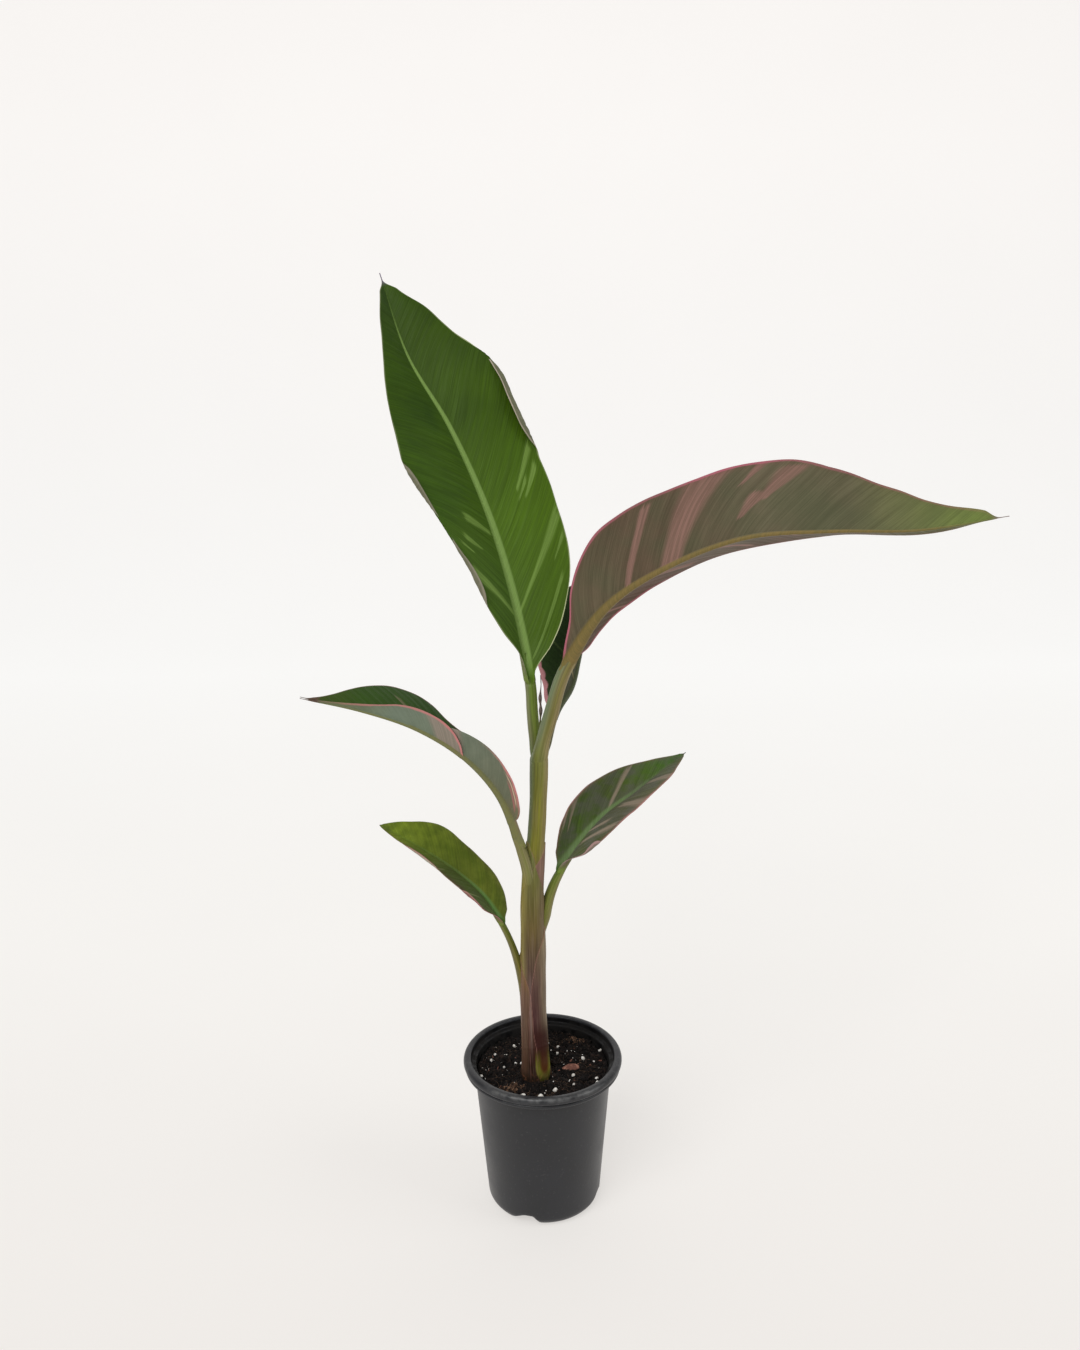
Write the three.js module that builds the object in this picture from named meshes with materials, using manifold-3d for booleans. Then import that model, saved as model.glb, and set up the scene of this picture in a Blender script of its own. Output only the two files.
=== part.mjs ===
// Young banana plant in a nursery pot. Millimetres, +Z up.
// The origin is the centre of the pot's flat underside, on the pot's axis.
// +X is to the right of the plant's front, and -Y is the front.

import * as THREE from "three";
import { mergeVertices } from "three/addons/utils/BufferGeometryUtils.js";
import Module from "manifold-3d";

const wasm = await Module();
wasm.setup();

// ---------------------------------------------------------------- driving dimensions

const GAP = 0.3;                 // clearance wherever one piece meets another
const RAD = Math.PI / 180;

const POT_HEIGHT = 118;
const RIM_RADIUS = 59;           // widest bead of the rolled rim
const RIM_MOUTH = 54.5;          // inner edge of the rim's top
const BODY_TOP_RADIUS = 50.8;    // wall just under the rim
const BODY_FOOT_RADIUS = 42.6;   // wall just above the base corner
const CORNER = 8.5;              // radius of the rounded base corner
const WALL = 1.4;
const RIM_BAND = 9.5;            // height of the rim's outside band
const RIM_FOOT = POT_HEIGHT - RIM_BAND;
const UNDER_RIM = RIM_FOOT - 1.5; // here the plain wall ends and the shoulder below the rim starts
const POT_SIDES = 56;
const CORNER_STEPS = 5;
// The shoulder, the lower bead, the groove and the upper bead of the rim's outside, each as
// [how far in from the rim's radius, how far up from the rim's foot].
const RIM_OUTSIDE = [[7, 0], [2.6, 0.6], [1.2, 2.0], [1.2, 3.2], [2.1, 4.0], [0.2, 5.0],
  [0, 6.4], [0.8, 8.3], [2.0, RIM_BAND]];
// The rim's inside and its ledge, each as [how far in from the mouth, how far down from the top].
const RIM_INSIDE = [[0, 0], [1.0, 1.2], [1.4, 4.5], [3.9, 5.2]];
const FLOOR_FILLET = 5.0;        // how far in the floor meets the wall's corner
const NOTCH_COUNT = 4;
const NOTCH_FIRST = -110;        // degrees from +X to the middle of the first drain notch
const NOTCH_WIDTH = 23;
const NOTCH_HEIGHT = 9;
const NOTCH_INNER = 16;          // inside this the underside is one flat disc

const SOIL_LEVEL = 108;
const SOIL_SWELL = 0.66;         // how far the soil's surface rises and falls
const SOIL_SETTLED = 0.7;        // by how many swells the soil lies lower away from the stem
const SOIL_LEVEL_WITHIN = 13;    // inside this distance of the stem the soil is level
const SOIL_ROUGH_BEYOND = 24;
const SOIL_RINGS = 7;
const SOIL_EDGE_DROP = 2.2;      // how much lower the soil meets the wall
const STEM_FOOT = SOIL_LEVEL + GAP;
const STEM_TOP = 361;

// The stem's middle, from the soil to the fork, evenly spread.
const STEM_LINE = [
  [-5.2, -9.5, STEM_FOOT],
  [-6.4, -9.8, 160],
  [-6.3, -10.4, 210],
  [-5.3, -11.2, 262],
  [-1.6, -12.0, 312],
  [0.2, -12.6, STEM_TOP],
];
// Half width and half depth of the bare stem at the same places.
const STEM_HALF_WIDTH = [8.6, 8.0, 7.9, 7.2, 5.5, 5.9];
const STEM_HALF_DEPTH = [8.8, 8.0, 7.9, 7.6, 7.4, 8.6];
const STEM_FLARE = 1.6;          // extra radius at the very foot
const STEM_FLARE_HEIGHT = 9;
const STEM_SIDES = 28;
const STEM_STEPS = 34;

// A leaf sheath wraps the stem below its stalk: `toward` is the side it leaves from, in degrees
// from +X, and `top` is the height at which it leaves.
const SHEATHS = [
  { toward: 205, top: 290 },
  { toward: 22, top: 236 },
  { toward: 158, top: 204 },
];
const SHEATH_THICKNESS = 0.55;
const SHEATH_REACH = 125;        // degrees each way, well below the top
const SHEATH_WRAP = 18;          // height over which it opens round the stem
const SHEATH_EDGE = 7;           // degrees over which its edge thins out

// The cut-off stub of the first sheath, a long oval on the foot.
const STUB = { toward: -52, height: 121, halfWidth: 34, halfHeight: 15, thickness: 1.3 };

// ---------------------------------------------------------------- the leaves
//
// spine:  the middle line of stalk and midrib, from inside the stem to the leaf's tip
// stalk:  how many of the spine's spans are stalk; the blade is on the rest
// radius: the stalk's radius, evenly spread from its foot to where the blade starts
// face:   the way the upper side looks, evenly spread along the blade
// left, right: half widths of the blade, evenly spread from its foot to its tip
// liftLeft, liftRight: degrees that each half is raised from flat, evenly spread
// splitAt: where along the blade a leaf that arches over is parted into two pieces
const LEAVES = [
  {
    name: "leaf_1", stalk: 2, radius: [4.2, 3.7], colour: "#3f6a1f",
    spine: [[-1.8, -8, 352], [-3.7, -6.5, 385], [-6, -2, 413], [-18, 17, 469], [-35, 36, 522],
      [-59, 53, 575], [-88, 69, 624], [-106, 82, 679]],
    face: [[0.25, -1, 0.35], [0.2, -1, 0.35]],
    left: [4, 17, 27, 39, 45, 50, 48, 36, 20, 9, 1],
    right: [5, 27, 43, 48, 49, 47, 47, 51, 37, 21, 1],
    liftLeft: [35, 32, 28, 26], liftRight: [8, 4, 4, 8],
  },
  {
    name: "leaf_2", stalk: 2, radius: [4.9, 4.6], colour: "#6a6652", splitAt: 0.42,
    spine: [[-0.5, -17, 350], [8.5, -17.5, 386], [20, -18, 421], [46, -29, 463], [86, -42, 492],
      [131, -56, 511], [180, -69, 516], [229, -83, 518], [278, -94, 527]],
    face: [[-0.35, 1, 0.2], [-0.35, 1, 0.6], [-0.1, 0.9, 0.9], [0, 0.9, 1], [0.05, 0.9, 1]],
    left: [4, 12, 18, 24, 31, 35, 33, 28, 20, 10, 1],
    right: [4, 14, 37, 47, 47, 48, 49, 38, 26, 13, 1],
    liftLeft: [20, 24, 26, 26], liftRight: [20, 24, 26, 26],
  },
  {
    name: "leaf_3", stalk: 1, radius: [3.2, 2.4], colour: "#1f3318",
    spine: [[3, -7, 350], [12, -4, 383], [24, 12, 398], [30, 31, 414], [35, 51, 431],
      [39, 70, 448], [43, 90, 464]],
    face: [[-1, -0.1, 0.1], [-1, -0.1, 0.2]],
    left: [3, 14, 22, 27, 32, 35, 36, 36, 33, 21, 1],
    right: [3, 12, 17, 19, 20, 21, 20, 18, 14, 7, 1],
    liftLeft: [60, 65, 60], liftRight: [30, 35, 35],
  },
  {
    name: "leaf_4", stalk: 2, radius: [6.3, 5.2, 3.9], colour: "#6e745a",
    spine: [[-5.5, -13.5, 248], [-8.6, -16.5, 273], [-14, -20, 296], [-27, -29, 333],
      [-49, -39, 364], [-79, -49, 388], [-113, -59, 404], [-150, -66, 415]],
    splitAt: 0.45, face: [[0.9, 0.2, 0.6], [0.35, 0.25, 1], [0, 0.3, 1]],
    left: [4, 6, 13, 18, 22, 22, 20, 17, 11, 5, 1],
    right: [4, 16, 24, 28, 27, 27, 30, 30, 22, 9, 1],
    liftLeft: [45, 45, 40], liftRight: [40, 40, 40],
  },
  {
    name: "leaf_5", stalk: 3, radius: [3.6, 3.4, 2.7, 2.4], colour: "#54702c",
    spine: [[-10.5, -10, 150], [-13.8, -10.5, 184], [-20, -11, 211], [-29, -10, 232],
      [-42, 5, 245], [-59, 17, 256], [-78, 27, 266], [-98, 34, 276], [-119, 40, 286]],
    face: [[0.6, -0.3, 0.8], [0.35, -0.3, 1], [0.2, -0.3, 1]],
    left: [3, 13, 17, 18, 16, 14, 12, 9, 6, 3, 1],
    right: [3, 11, 16, 19, 21, 22, 23, 23, 19, 10, 1],
    liftLeft: [15, 10, 5], liftRight: [20, 20, 15],
  },
  {
    name: "leaf_6", stalk: 2, radius: [4.4, 4.1, 3.1], colour: "#47602c",
    spine: [[-0.5, -8, 212], [5.7, -9, 248], [16, -6, 271], [31, 6, 288], [48, 17, 302],
      [68, 27, 313], [88, 35, 326], [108, 42, 339]],
    face: [[-0.7, -0.3, 0.8], [-0.4, -0.35, 1], [-0.3, -0.35, 1]],
    left: [3, 14, 23, 25, 28, 28, 26, 21, 15, 8, 1],
    right: [3, 22, 28, 29, 27, 24, 19, 18, 16, 8, 1],
    liftLeft: [15, 12, 8], liftRight: [15, 15, 15],
  },
];
const STALK_SIDES = 12;
const STALK_STEPS_PER_SPAN = 5;
const STALK_CHANNEL = 0.35;      // depth of the groove on a stalk's upper side, in its own radii
const KEEL = 0.8;                // how far the midrib stands proud below, in its own radii
const RIB_TIP_RADIUS = 0.5;      // the midrib at the leaf's tip
const BLADE_COLUMNS = 4;         // steps from the midrib to the margin
const BLADE_THINNEST = 1.5;      // no blade is thinner than this or a hundredth of its length
const ROWS_PER_SPAN = 4;         // steps along the blade for each span of the spine

// The rolled tip of the next leaf, which stands between the two youngest stalks.
const SPIKE = { foot: [0.8, -12.4, 367], tip: [2.6, -11, 413], radius: 1.3, tipRadius: 0.5 };

// ---------------------------------------------------------------- helpers

// Reads a row of numbers spread evenly over 0..1, on a smooth curve through them.
function readRow(row, t) {
  const points = row.map((value) => new THREE.Vector3(value, 0, 0));
  return new THREE.CatmullRomCurve3(points, false, "catmullrom", 0.5).getPoint(t).x;
}

// A smooth curve through points given as [x, y, z].
function curveThrough(points) {
  const vectors = points.map((p) => new THREE.Vector3(...p));
  return new THREE.CatmullRomCurve3(vectors, false, "catmullrom", 0.5);
}

// -1 at the start of a limb, 1 at its end and 0 between.
function atEnds(share) {
  if (share === 0) return -1;
  return share === 1 ? 1 : 0;
}

// Moves every vertex of a geometry by a rule that takes and returns a Vector3.
function bend(geometry, rule) {
  const place = geometry.attributes.position;
  const vertex = new THREE.Vector3();
  for (let i = 0; i < place.count; i += 1) {
    vertex.fromBufferAttribute(place, i);
    const moved = rule(vertex);
    place.setXYZ(i, moved.x, moved.y, moved.z);
  }
  return geometry;
}

// Only positions are left, so that vertices that share a place become one.
function welded(geometry) {
  geometry.deleteAttribute("normal");
  geometry.deleteAttribute("uv");
  return mergeVertices(geometry, 1e-4);
}

function toSolid(geometry) {
  const clean = welded(geometry);
  return new wasm.Manifold(new wasm.Mesh({
    numProp: 3,
    vertProperties: Float32Array.from(clean.attributes.position.array),
    triVerts: Uint32Array.from(clean.index.array),
  }));
}

function toGeometry(solid) {
  const mesh = solid.getMesh();
  const geometry = new THREE.BufferGeometry();
  geometry.setAttribute("position", new THREE.BufferAttribute(mesh.vertProperties, 3));
  geometry.setIndex(new THREE.BufferAttribute(mesh.triVerts, 1));
  geometry.computeVertexNormals();
  return geometry;
}

const plant = new THREE.Group();

function addMesh(name, geometry, colour, roughness) {
  const material = new THREE.MeshStandardMaterial({ color: colour, roughness, metalness: 0 });
  const mesh = new THREE.Mesh(geometry, material);
  mesh.name = name;
  plant.add(mesh);
}

// ---------------------------------------------------------------- pot

// The wall's inner radius at a height.
function wallRadius(height) {
  const share = (height - CORNER) / (UNDER_RIM - CORNER);
  return THREE.MathUtils.lerp(BODY_FOOT_RADIUS, BODY_TOP_RADIUS, share) - WALL;
}

// The rounded corner at the foot of the wall, from the flat underside up.
function cornerPoints() {
  return Array.from({ length: CORNER_STEPS + 1 }, (_, step) => {
    const turn = (step / CORNER_STEPS) * 80 * RAD;
    return [
      BODY_FOOT_RADIUS - CORNER + CORNER * Math.sin(turn),
      CORNER - CORNER * Math.cos(turn),
    ];
  });
}

function toVectors(pairs) {
  return pairs.map(([radius, height]) => new THREE.Vector2(radius, height));
}

// Up the outside, over the rim, and down the inside to the middle of the floor.
function potProfile() {
  const floor = WALL + 1;
  return toVectors([
    [0, 0],
    ...cornerPoints(),
    [BODY_TOP_RADIUS, UNDER_RIM],
    ...RIM_OUTSIDE.map(([inward, up]) => [RIM_RADIUS - inward, RIM_FOOT + up]),
    ...RIM_INSIDE.map(([inward, down]) => [RIM_MOUTH - inward, POT_HEIGHT - down]),
    [BODY_TOP_RADIUS - WALL, UNDER_RIM],
    [BODY_FOOT_RADIUS - WALL, CORNER],
    [BODY_FOOT_RADIUS - WALL - FLOOR_FILLET, floor],
    [0, floor],
  ]);
}

// LatheGeometry turns about Y; the turn about X stands the pot up along +Z.
function latheUpright(points, sides) {
  return new THREE.LatheGeometry(points, sides).rotateX(Math.PI / 2);
}

// Everything inside the pot's outside face, up to `height`.
function potFilled(height) {
  const top = [[wallRadius(height) + WALL, height], [0, height]];
  return toSolid(latheUpright(toVectors([[0, 0], ...cornerPoints(), ...top]), POT_SIDES));
}

// A bar that runs out from the hub to beyond the wall, for one drain notch.
function notchBar(index, spare) {
  const start = NOTCH_INNER - spare;
  const depth = BODY_TOP_RADIUS - start;
  const height = NOTCH_HEIGHT + spare;
  const bar = new THREE.BoxGeometry(depth, NOTCH_WIDTH + 2 * spare, 2 * height);
  bar.translate(start + depth / 2, 0, 0);
  return toSolid(bar.rotateZ((NOTCH_FIRST + (360 / NOTCH_COUNT) * index) * RAD));
}

// The moulded base is one wall thick over the notches, so the floor steps up above each.
function buildPot() {
  let pot = toSolid(latheUpright(potProfile(), POT_SIDES));
  const filled = potFilled(2 * NOTCH_HEIGHT);
  for (let i = 0; i < NOTCH_COUNT; i += 1) {
    pot = pot.add(notchBar(i, WALL).intersect(filled));
  }
  for (let i = 0; i < NOTCH_COUNT; i += 1) {
    pot = pot.subtract(notchBar(i, 0));
  }
  addMesh("pot", toGeometry(pot), "#3a3b3d", 0.45);
}

// ---------------------------------------------------------------- soil

// The soil dips and swells a little, but is level where the stem stands on it.
function soilHeight(x, y) {
  const [stemX, stemY] = STEM_LINE[0];
  const fromStem = Math.hypot(x - stemX, y - stemY);
  const away = THREE.MathUtils.smoothstep(fromStem, SOIL_LEVEL_WITHIN, SOIL_ROUGH_BEYOND);
  const swell = Math.sin(x / 7 + 0.6) * Math.cos(y / 8.5) + 0.5 * Math.sin((x + y) / 4.3);
  return SOIL_LEVEL + SOIL_SWELL * away * (swell - SOIL_SETTLED);
}

function buildSoil() {
  const floor = NOTCH_HEIGHT + WALL + GAP;
  const foot = wallRadius(floor) - 2 * GAP;
  const edge = wallRadius(SOIL_LEVEL - SOIL_EDGE_DROP) - 2 * GAP;
  const rings = Array.from({ length: SOIL_RINGS + 1 }, (_, ring) => [
    (edge - GAP) * (1 - ring / SOIL_RINGS),
    SOIL_LEVEL,
  ]);
  const points = toVectors([[0, floor], [foot, floor], [edge, SOIL_LEVEL - SOIL_EDGE_DROP], ...rings]);
  const soil = bend(latheUpright(points, POT_SIDES / 2), (v) => {
    if (v.z > SOIL_LEVEL - GAP) v.z = soilHeight(v.x, v.y);
    return v;
  });
  addMesh("soil", welded(soil), "#2a211c", 0.95);
}

// ---------------------------------------------------------------- stem

// Degrees between two directions, from 0 to 180.
function degreesApart(a, b) {
  return Math.abs(THREE.MathUtils.euclideanModulo(a - b + 180, 360) - 180);
}

// How thick the sheaths and the stub are on the stem, at a height and a direction.
function sheathRise(height, toward) {
  let rise = 0;
  SHEATHS.filter((sheath) => height < sheath.top).forEach((sheath) => {
    const reach = SHEATH_REACH * (1 - Math.exp((height - sheath.top) / SHEATH_WRAP));
    const away = degreesApart(toward, sheath.toward);
    const edge = THREE.MathUtils.smoothstep(away, reach - SHEATH_EDGE, reach + SHEATH_EDGE);
    rise += SHEATH_THICKNESS * (1 - edge);
  });
  const aside = degreesApart(toward, STUB.toward) / STUB.halfWidth;
  const oval = Math.hypot(aside, (height - STUB.height) / STUB.halfHeight);
  return rise + STUB.thickness * (1 - THREE.MathUtils.smoothstep(oval, 0.7, 1.1));
}

// The stem, swollen by `extra` all round and at both ends.
function stemGeometry(extra) {
  const line = curveThrough(STEM_LINE);
  const upright = new THREE.CylinderGeometry(1, 1, 1, STEM_SIDES, STEM_STEPS).rotateX(Math.PI / 2);
  return bend(upright, (v) => {
    const share = v.z + 0.5;
    const middle = line.getPoint(share);
    const toward = Math.atan2(v.y, v.x);
    const flare = STEM_FLARE * Math.exp((STEM_FOOT - middle.z) / STEM_FLARE_HEIGHT);
    const rise = Math.hypot(v.x, v.y) * (sheathRise(middle.z, toward / RAD) + flare + extra);
    return new THREE.Vector3(
      middle.x + v.x * readRow(STEM_HALF_WIDTH, share) + Math.cos(toward) * rise,
      middle.y + v.y * readRow(STEM_HALF_DEPTH, share) + Math.sin(toward) * rise,
      middle.z + atEnds(share) * extra,
    );
  });
}

// ---------------------------------------------------------------- stalks and blades

// Where a leaf's spine is at `t` of its blade (below 0 on the stalk), with the directions along it,
// to the leaf's right, and out of its upper side.
function spineFrame(leaf, t) {
  const curve = curveThrough(leaf.spine);
  const spans = leaf.spine.length - 1;
  const whole = (leaf.stalk + t * (spans - leaf.stalk)) / spans;
  const along = curve.getTangent(THREE.MathUtils.clamp(whole, 0, 1)).normalize();
  const onBlade = THREE.MathUtils.clamp(t, 0, 1);
  const face = curveThrough(leaf.face).getPoint(onBlade);
  const right = new THREE.Vector3().crossVectors(along, face).normalize();
  const up = new THREE.Vector3().crossVectors(right, along);
  return { middle: curve.getPoint(THREE.MathUtils.clamp(whole, 0, 1)), along, right, up };
}

function spineLength(leaf) {
  const blade = leaf.spine.slice(leaf.stalk);
  return curveThrough(blade).getLength();
}

// A stalk is round below and hollowed along its upper side.
function stalkGeometry(leaf, extra) {
  const start = -leaf.stalk / (leaf.spine.length - 1 - leaf.stalk);
  const end = -GAP / spineLength(leaf);
  const steps = STALK_STEPS_PER_SPAN * leaf.stalk + 1;
  return bend(new THREE.CylinderGeometry(1, 1, 1, STALK_SIDES, steps), (v) => {
    const share = v.y + 0.5;
    const { middle, along, right, up } = spineFrame(leaf, THREE.MathUtils.lerp(start, end, share));
    const radius = readRow(leaf.radius, share) + extra;
    const channel = STALK_CHANNEL * share * radius * Math.max(0, v.z) ** 4;
    return middle.clone()
      .addScaledVector(right, v.x * radius)
      .addScaledVector(up, v.z * radius - channel)
      .addScaledVector(along, atEnds(share) * extra);
  });
}

function bladeThickness(leaf) {
  return Math.max(BLADE_THINNEST, spineLength(leaf) / 100);
}

// A point of the blade: `across` in mm from the midrib (+ to the right), `depth` out of the face.
function bladePoint(leaf, t, across, depth) {
  const { middle, right, up } = spineFrame(leaf, t);
  const side = Math.sign(across);
  const lift = readRow(side < 0 ? leaf.liftLeft : leaf.liftRight, t) * RAD * Math.abs(side);
  const sideways = across * Math.cos(lift) - side * depth * Math.sin(lift);
  const upward = Math.abs(across) * Math.sin(lift) + depth * Math.cos(lift);
  return middle.clone().addScaledVector(right, sideways).addScaledVector(up, upward);
}

// A box of many faces is bent into the blade. The middle column is the midrib's keel, the next
// ones its edges, and the rest are spread evenly to the margins.
function bladeGeometry(leaf, from, to) {
  const spans = leaf.spine.length - 1 - leaf.stalk;
  const rows = Math.round(spans * ROWS_PER_SPAN * (to - from));
  const thickness = bladeThickness(leaf);
  const box = new THREE.BoxGeometry(1, 1, 1, 2 * BLADE_COLUMNS, rows, 1);
  return bend(box, (v) => {
    const t = THREE.MathUtils.lerp(from, to, v.y + 0.5);
    const column = Math.round(v.x * 2 * BLADE_COLUMNS);
    const width = readRow(column < 0 ? leaf.left : leaf.right, t);
    const ribRadius = THREE.MathUtils.lerp(leaf.radius.at(-1), RIB_TIP_RADIUS, t);
    const ribEdge = Math.min(0.5 * width, ribRadius);
    const outward = (Math.abs(column) - 1) / (BLADE_COLUMNS - 1);
    const across = Math.sign(column) * THREE.MathUtils.lerp(ribEdge, width, outward);
    const keel = column === 0 && v.z < 0 ? KEEL * ribRadius : 0;
    return bladePoint(leaf, t, across, v.z * thickness - keel);
  });
}

// The rolled tip is a thin cone that leans as its foot and tip say.
function spikeGeometry() {
  const line = curveThrough([SPIKE.foot, SPIKE.tip]);
  return bend(new THREE.CylinderGeometry(1, 1, 1, 8, 4).rotateX(Math.PI / 2), (v) => {
    const share = v.z + 0.5;
    const radius = THREE.MathUtils.lerp(SPIKE.radius, SPIKE.tipRadius, share);
    return line.getPoint(share).add(new THREE.Vector3(v.x * radius, v.y * radius, 0));
  });
}

// What is left of a solid outside all the others, without loose scraps.
function cutClear(solid, others) {
  const left = others.reduce((rest, other) => rest.subtract(other), solid);
  return left.decompose().sort((a, b) => b.volume() - a.volume())[0];
}

// ---------------------------------------------------------------- the whole plant

buildPot();
buildSoil();

addMesh("pseudostem", welded(stemGeometry(0)), "#7a6a3c", 0.55);

// Each stalk is cut clear of the stem and of the stalks already made. The second leaf's comes
// first, because it wraps the others.
const keepOut = [toSolid(stemGeometry(GAP))];
const [first, second, ...others] = LEAVES;
[second, first, ...others].forEach((leaf) => {
  const stalk = cutClear(toSolid(stalkGeometry(leaf, 0)), keepOut);
  addMesh(leaf.name.replace("leaf", "stalk"), toGeometry(stalk), "#7c8044", 0.5);
  keepOut.push(toSolid(stalkGeometry(leaf, GAP)));
});
addMesh("new_leaf_spike", toGeometry(cutClear(toSolid(spikeGeometry()), keepOut)), "#4a4030", 0.7);

LEAVES.forEach((leaf) => {
  if (leaf.splitAt) {
    const clear = GAP / spineLength(leaf);
    addMesh(`${leaf.name}_lower`, welded(bladeGeometry(leaf, 0, leaf.splitAt)), leaf.colour, 0.5);
    addMesh(`${leaf.name}_upper`, welded(bladeGeometry(leaf, leaf.splitAt + clear, 1)),
      leaf.colour, 0.5);
  } else {
    addMesh(leaf.name, welded(bladeGeometry(leaf, 0, 1)), leaf.colour, 0.5);
  }
});

export default plant;
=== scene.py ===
# %% [markdown]
# # A young banana plant in its nursery pot
#
# The plant is made of a few kinds of thing: a moulded plastic pot, potting mix, a stem that is
# really a bundle of wrapped leaf sheaths, six stalks, and six thin blades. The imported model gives
# the place and size of each as a plain solid. This lesson dresses every one of them: it builds
# finer meshes from the same rows of sizes, and gives them finishes made only from nodes.
#
# Each step says what the thing is on the real plant, how it could be made, and why this way was
# chosen. Sizes are in millimetres until a mesh is made, because that is how a plant is measured.

# %% Load the fixed frame
import math

import bmesh
import bpy
import numpy as np
from mathutils import Matrix, Quaternion, Vector


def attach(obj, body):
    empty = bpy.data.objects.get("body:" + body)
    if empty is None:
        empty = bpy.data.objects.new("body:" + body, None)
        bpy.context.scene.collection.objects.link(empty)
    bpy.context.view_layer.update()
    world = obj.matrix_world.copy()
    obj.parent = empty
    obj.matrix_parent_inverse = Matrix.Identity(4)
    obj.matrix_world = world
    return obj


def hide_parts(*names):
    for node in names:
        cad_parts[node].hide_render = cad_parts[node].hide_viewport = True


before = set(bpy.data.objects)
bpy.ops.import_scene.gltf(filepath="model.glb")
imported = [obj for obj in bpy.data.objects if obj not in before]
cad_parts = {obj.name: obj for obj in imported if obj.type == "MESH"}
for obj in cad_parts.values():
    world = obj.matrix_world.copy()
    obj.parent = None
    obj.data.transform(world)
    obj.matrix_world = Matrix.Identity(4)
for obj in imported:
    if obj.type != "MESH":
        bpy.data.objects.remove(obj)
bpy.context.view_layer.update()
MM = 0.001
print("frame nodes:", sorted(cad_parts))

# %% [markdown]
# ## Rows of sizes
#
# A leaf's width changes all the way from foot to tip. It could be drawn as an outline of many
# points, but a gardener would describe it by a few widths taken at even steps. A smooth curve
# through such a row (a Catmull-Rom curve) gives every width between, and works just as well for
# points in space, so one helper serves the stem, the stalks and the blades.

# %% Read a row of sizes smoothly
def smooth_row(row, t):
    """Reads evenly spread numbers or points at t (0 to 1), on a smooth curve through them."""
    row = np.asarray(row, float)
    spans = len(row) - 1
    place = np.clip(np.asarray(t, float), 0, 1) * spans
    first = np.minimum(place.astype(int), spans - 1)
    w = place - first
    ends = np.concatenate([[2 * row[0] - row[1]], row, [2 * row[-1] - row[-2]]])
    a, b, c, d = (ends[first + k] for k in range(4))
    if row.ndim > 1:
        w = w[..., None]
    return b + 0.5 * w * (c - a + w * (2 * a - 5 * b + 4 * c - d + w * (3 * b - a - 3 * c + d)))


def ease(low, high, x):
    """0 below low, 1 above high, and a smooth step between."""
    w = np.clip((np.asarray(x, float) - low) / (high - low), 0, 1)
    return w * w * (3 - 2 * w)


def unit(vectors):
    return vectors / np.linalg.norm(vectors, axis=-1, keepdims=True)


def lerp(a, b, w):
    return a + (b - a) * w


print("width halfway along a row of 4, 17, 27:", smooth_row([4, 17, 27], 0.5))

# %% [markdown]
# ## From grids of points to pieces
#
# Nearly everything here is a grid of points: rows along a limb, columns across or round it. Quads
# between neighbours make the surface. Values that belong to a place on the plant, such as how far
# a point lies from the midrib, are stored on the points as attributes, and the finishes read them.

# %% Make a piece from points and faces
def grid_quads(rows, columns, closed=False):
    """Quads between a grid's points, row by row; closed joins the last column to the first."""
    across = np.arange(columns if closed else columns - 1)
    i, j = np.meshgrid(np.arange(rows - 1), across, indexing="ij")
    k = (j + 1) % columns
    corners = [i * columns + j, i * columns + k, (i + 1) * columns + k, (i + 1) * columns + j]
    return np.stack(corners, -1).reshape(-1, 4)


def tube_faces(rows, columns):
    """Quads round a tube made of rings of points, and one face over each of its ends."""
    last = (rows - 1) * columns
    ends = [list(range(columns))[::-1], [last + k for k in range(columns)]]
    return [list(quad) for quad in grid_quads(rows, columns, closed=True)] + ends


def add_piece(name, points, faces, finishes, replaces=(), finish_of_face=None, fields=None):
    """Adds a mesh, in millimetres, that rides on the plant and stands for the named solids."""
    mesh = bpy.data.meshes.new(name)
    mesh.from_pydata((np.asarray(points, float) * MM).tolist(), [], [list(f) for f in faces])
    for finish in finishes:
        mesh.materials.append(finish)
    if finish_of_face is not None:
        mesh.polygons.foreach_set("material_index", np.asarray(finish_of_face, np.int32))
    for field, values in (fields or {}).items():
        made = mesh.attributes.new(field, "FLOAT", "POINT")
        made.data.foreach_set("value", np.asarray(values, np.float32))
    mesh.shade_smooth()
    mesh.update()
    piece = bpy.data.objects.new(name, mesh)
    bpy.context.scene.collection.objects.link(piece)
    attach(piece, "root")
    if replaces:
        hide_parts(*replaces)
    triangles = sum(len(p.vertices) - 2 for p in mesh.polygons)
    print(f"{name}: {len(mesh.vertices)} points, {triangles} triangles")
    return piece


# %% [markdown]
# ## Short words for shader nodes
#
# A finish is a small tree of nodes. Made by hand in the Shader Editor it is a matter of dragging
# wires; in a script, a few helpers keep it as short: one puts a value, a wire or a paint code into
# a socket, others add a Math, Mix, Map Range or Noise node and give back what comes out of it.

# %% Helpers for node trees
def paint(code):
    """A linear colour from the code on a paint chart, such as #446622."""
    parts = [int(code[k:k + 2], 16) / 255 for k in (1, 3, 5)]
    return tuple(c / 12.92 if c <= 0.04045 else ((c + 0.055) / 1.055) ** 2.4 for c in parts) + (1.0,)


def put(socket, value):
    """Feeds a socket from another socket, or sets it to a plain value or a paint code."""
    if isinstance(value, bpy.types.NodeSocket):
        socket.id_data.links.new(value, socket)
    else:
        socket.default_value = paint(value) if isinstance(value, str) else value


def feed(node, **values):
    """Feeds several sockets; a value's name is the socket's name, with _ for a space."""
    for label, value in values.items():
        put(node.inputs[label.replace("_", " ")], value)


def maths(tree, operation, *values):
    node = tree.nodes.new("ShaderNodeMath")
    node.operation = operation
    for socket, value in zip(node.inputs, values):
        put(socket, value)
    return node.outputs[0]


def times(tree, value, *others):
    """Masks and shares multiplied together."""
    for other in others:
        value = maths(tree, "MULTIPLY", value, other)
    return value


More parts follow.
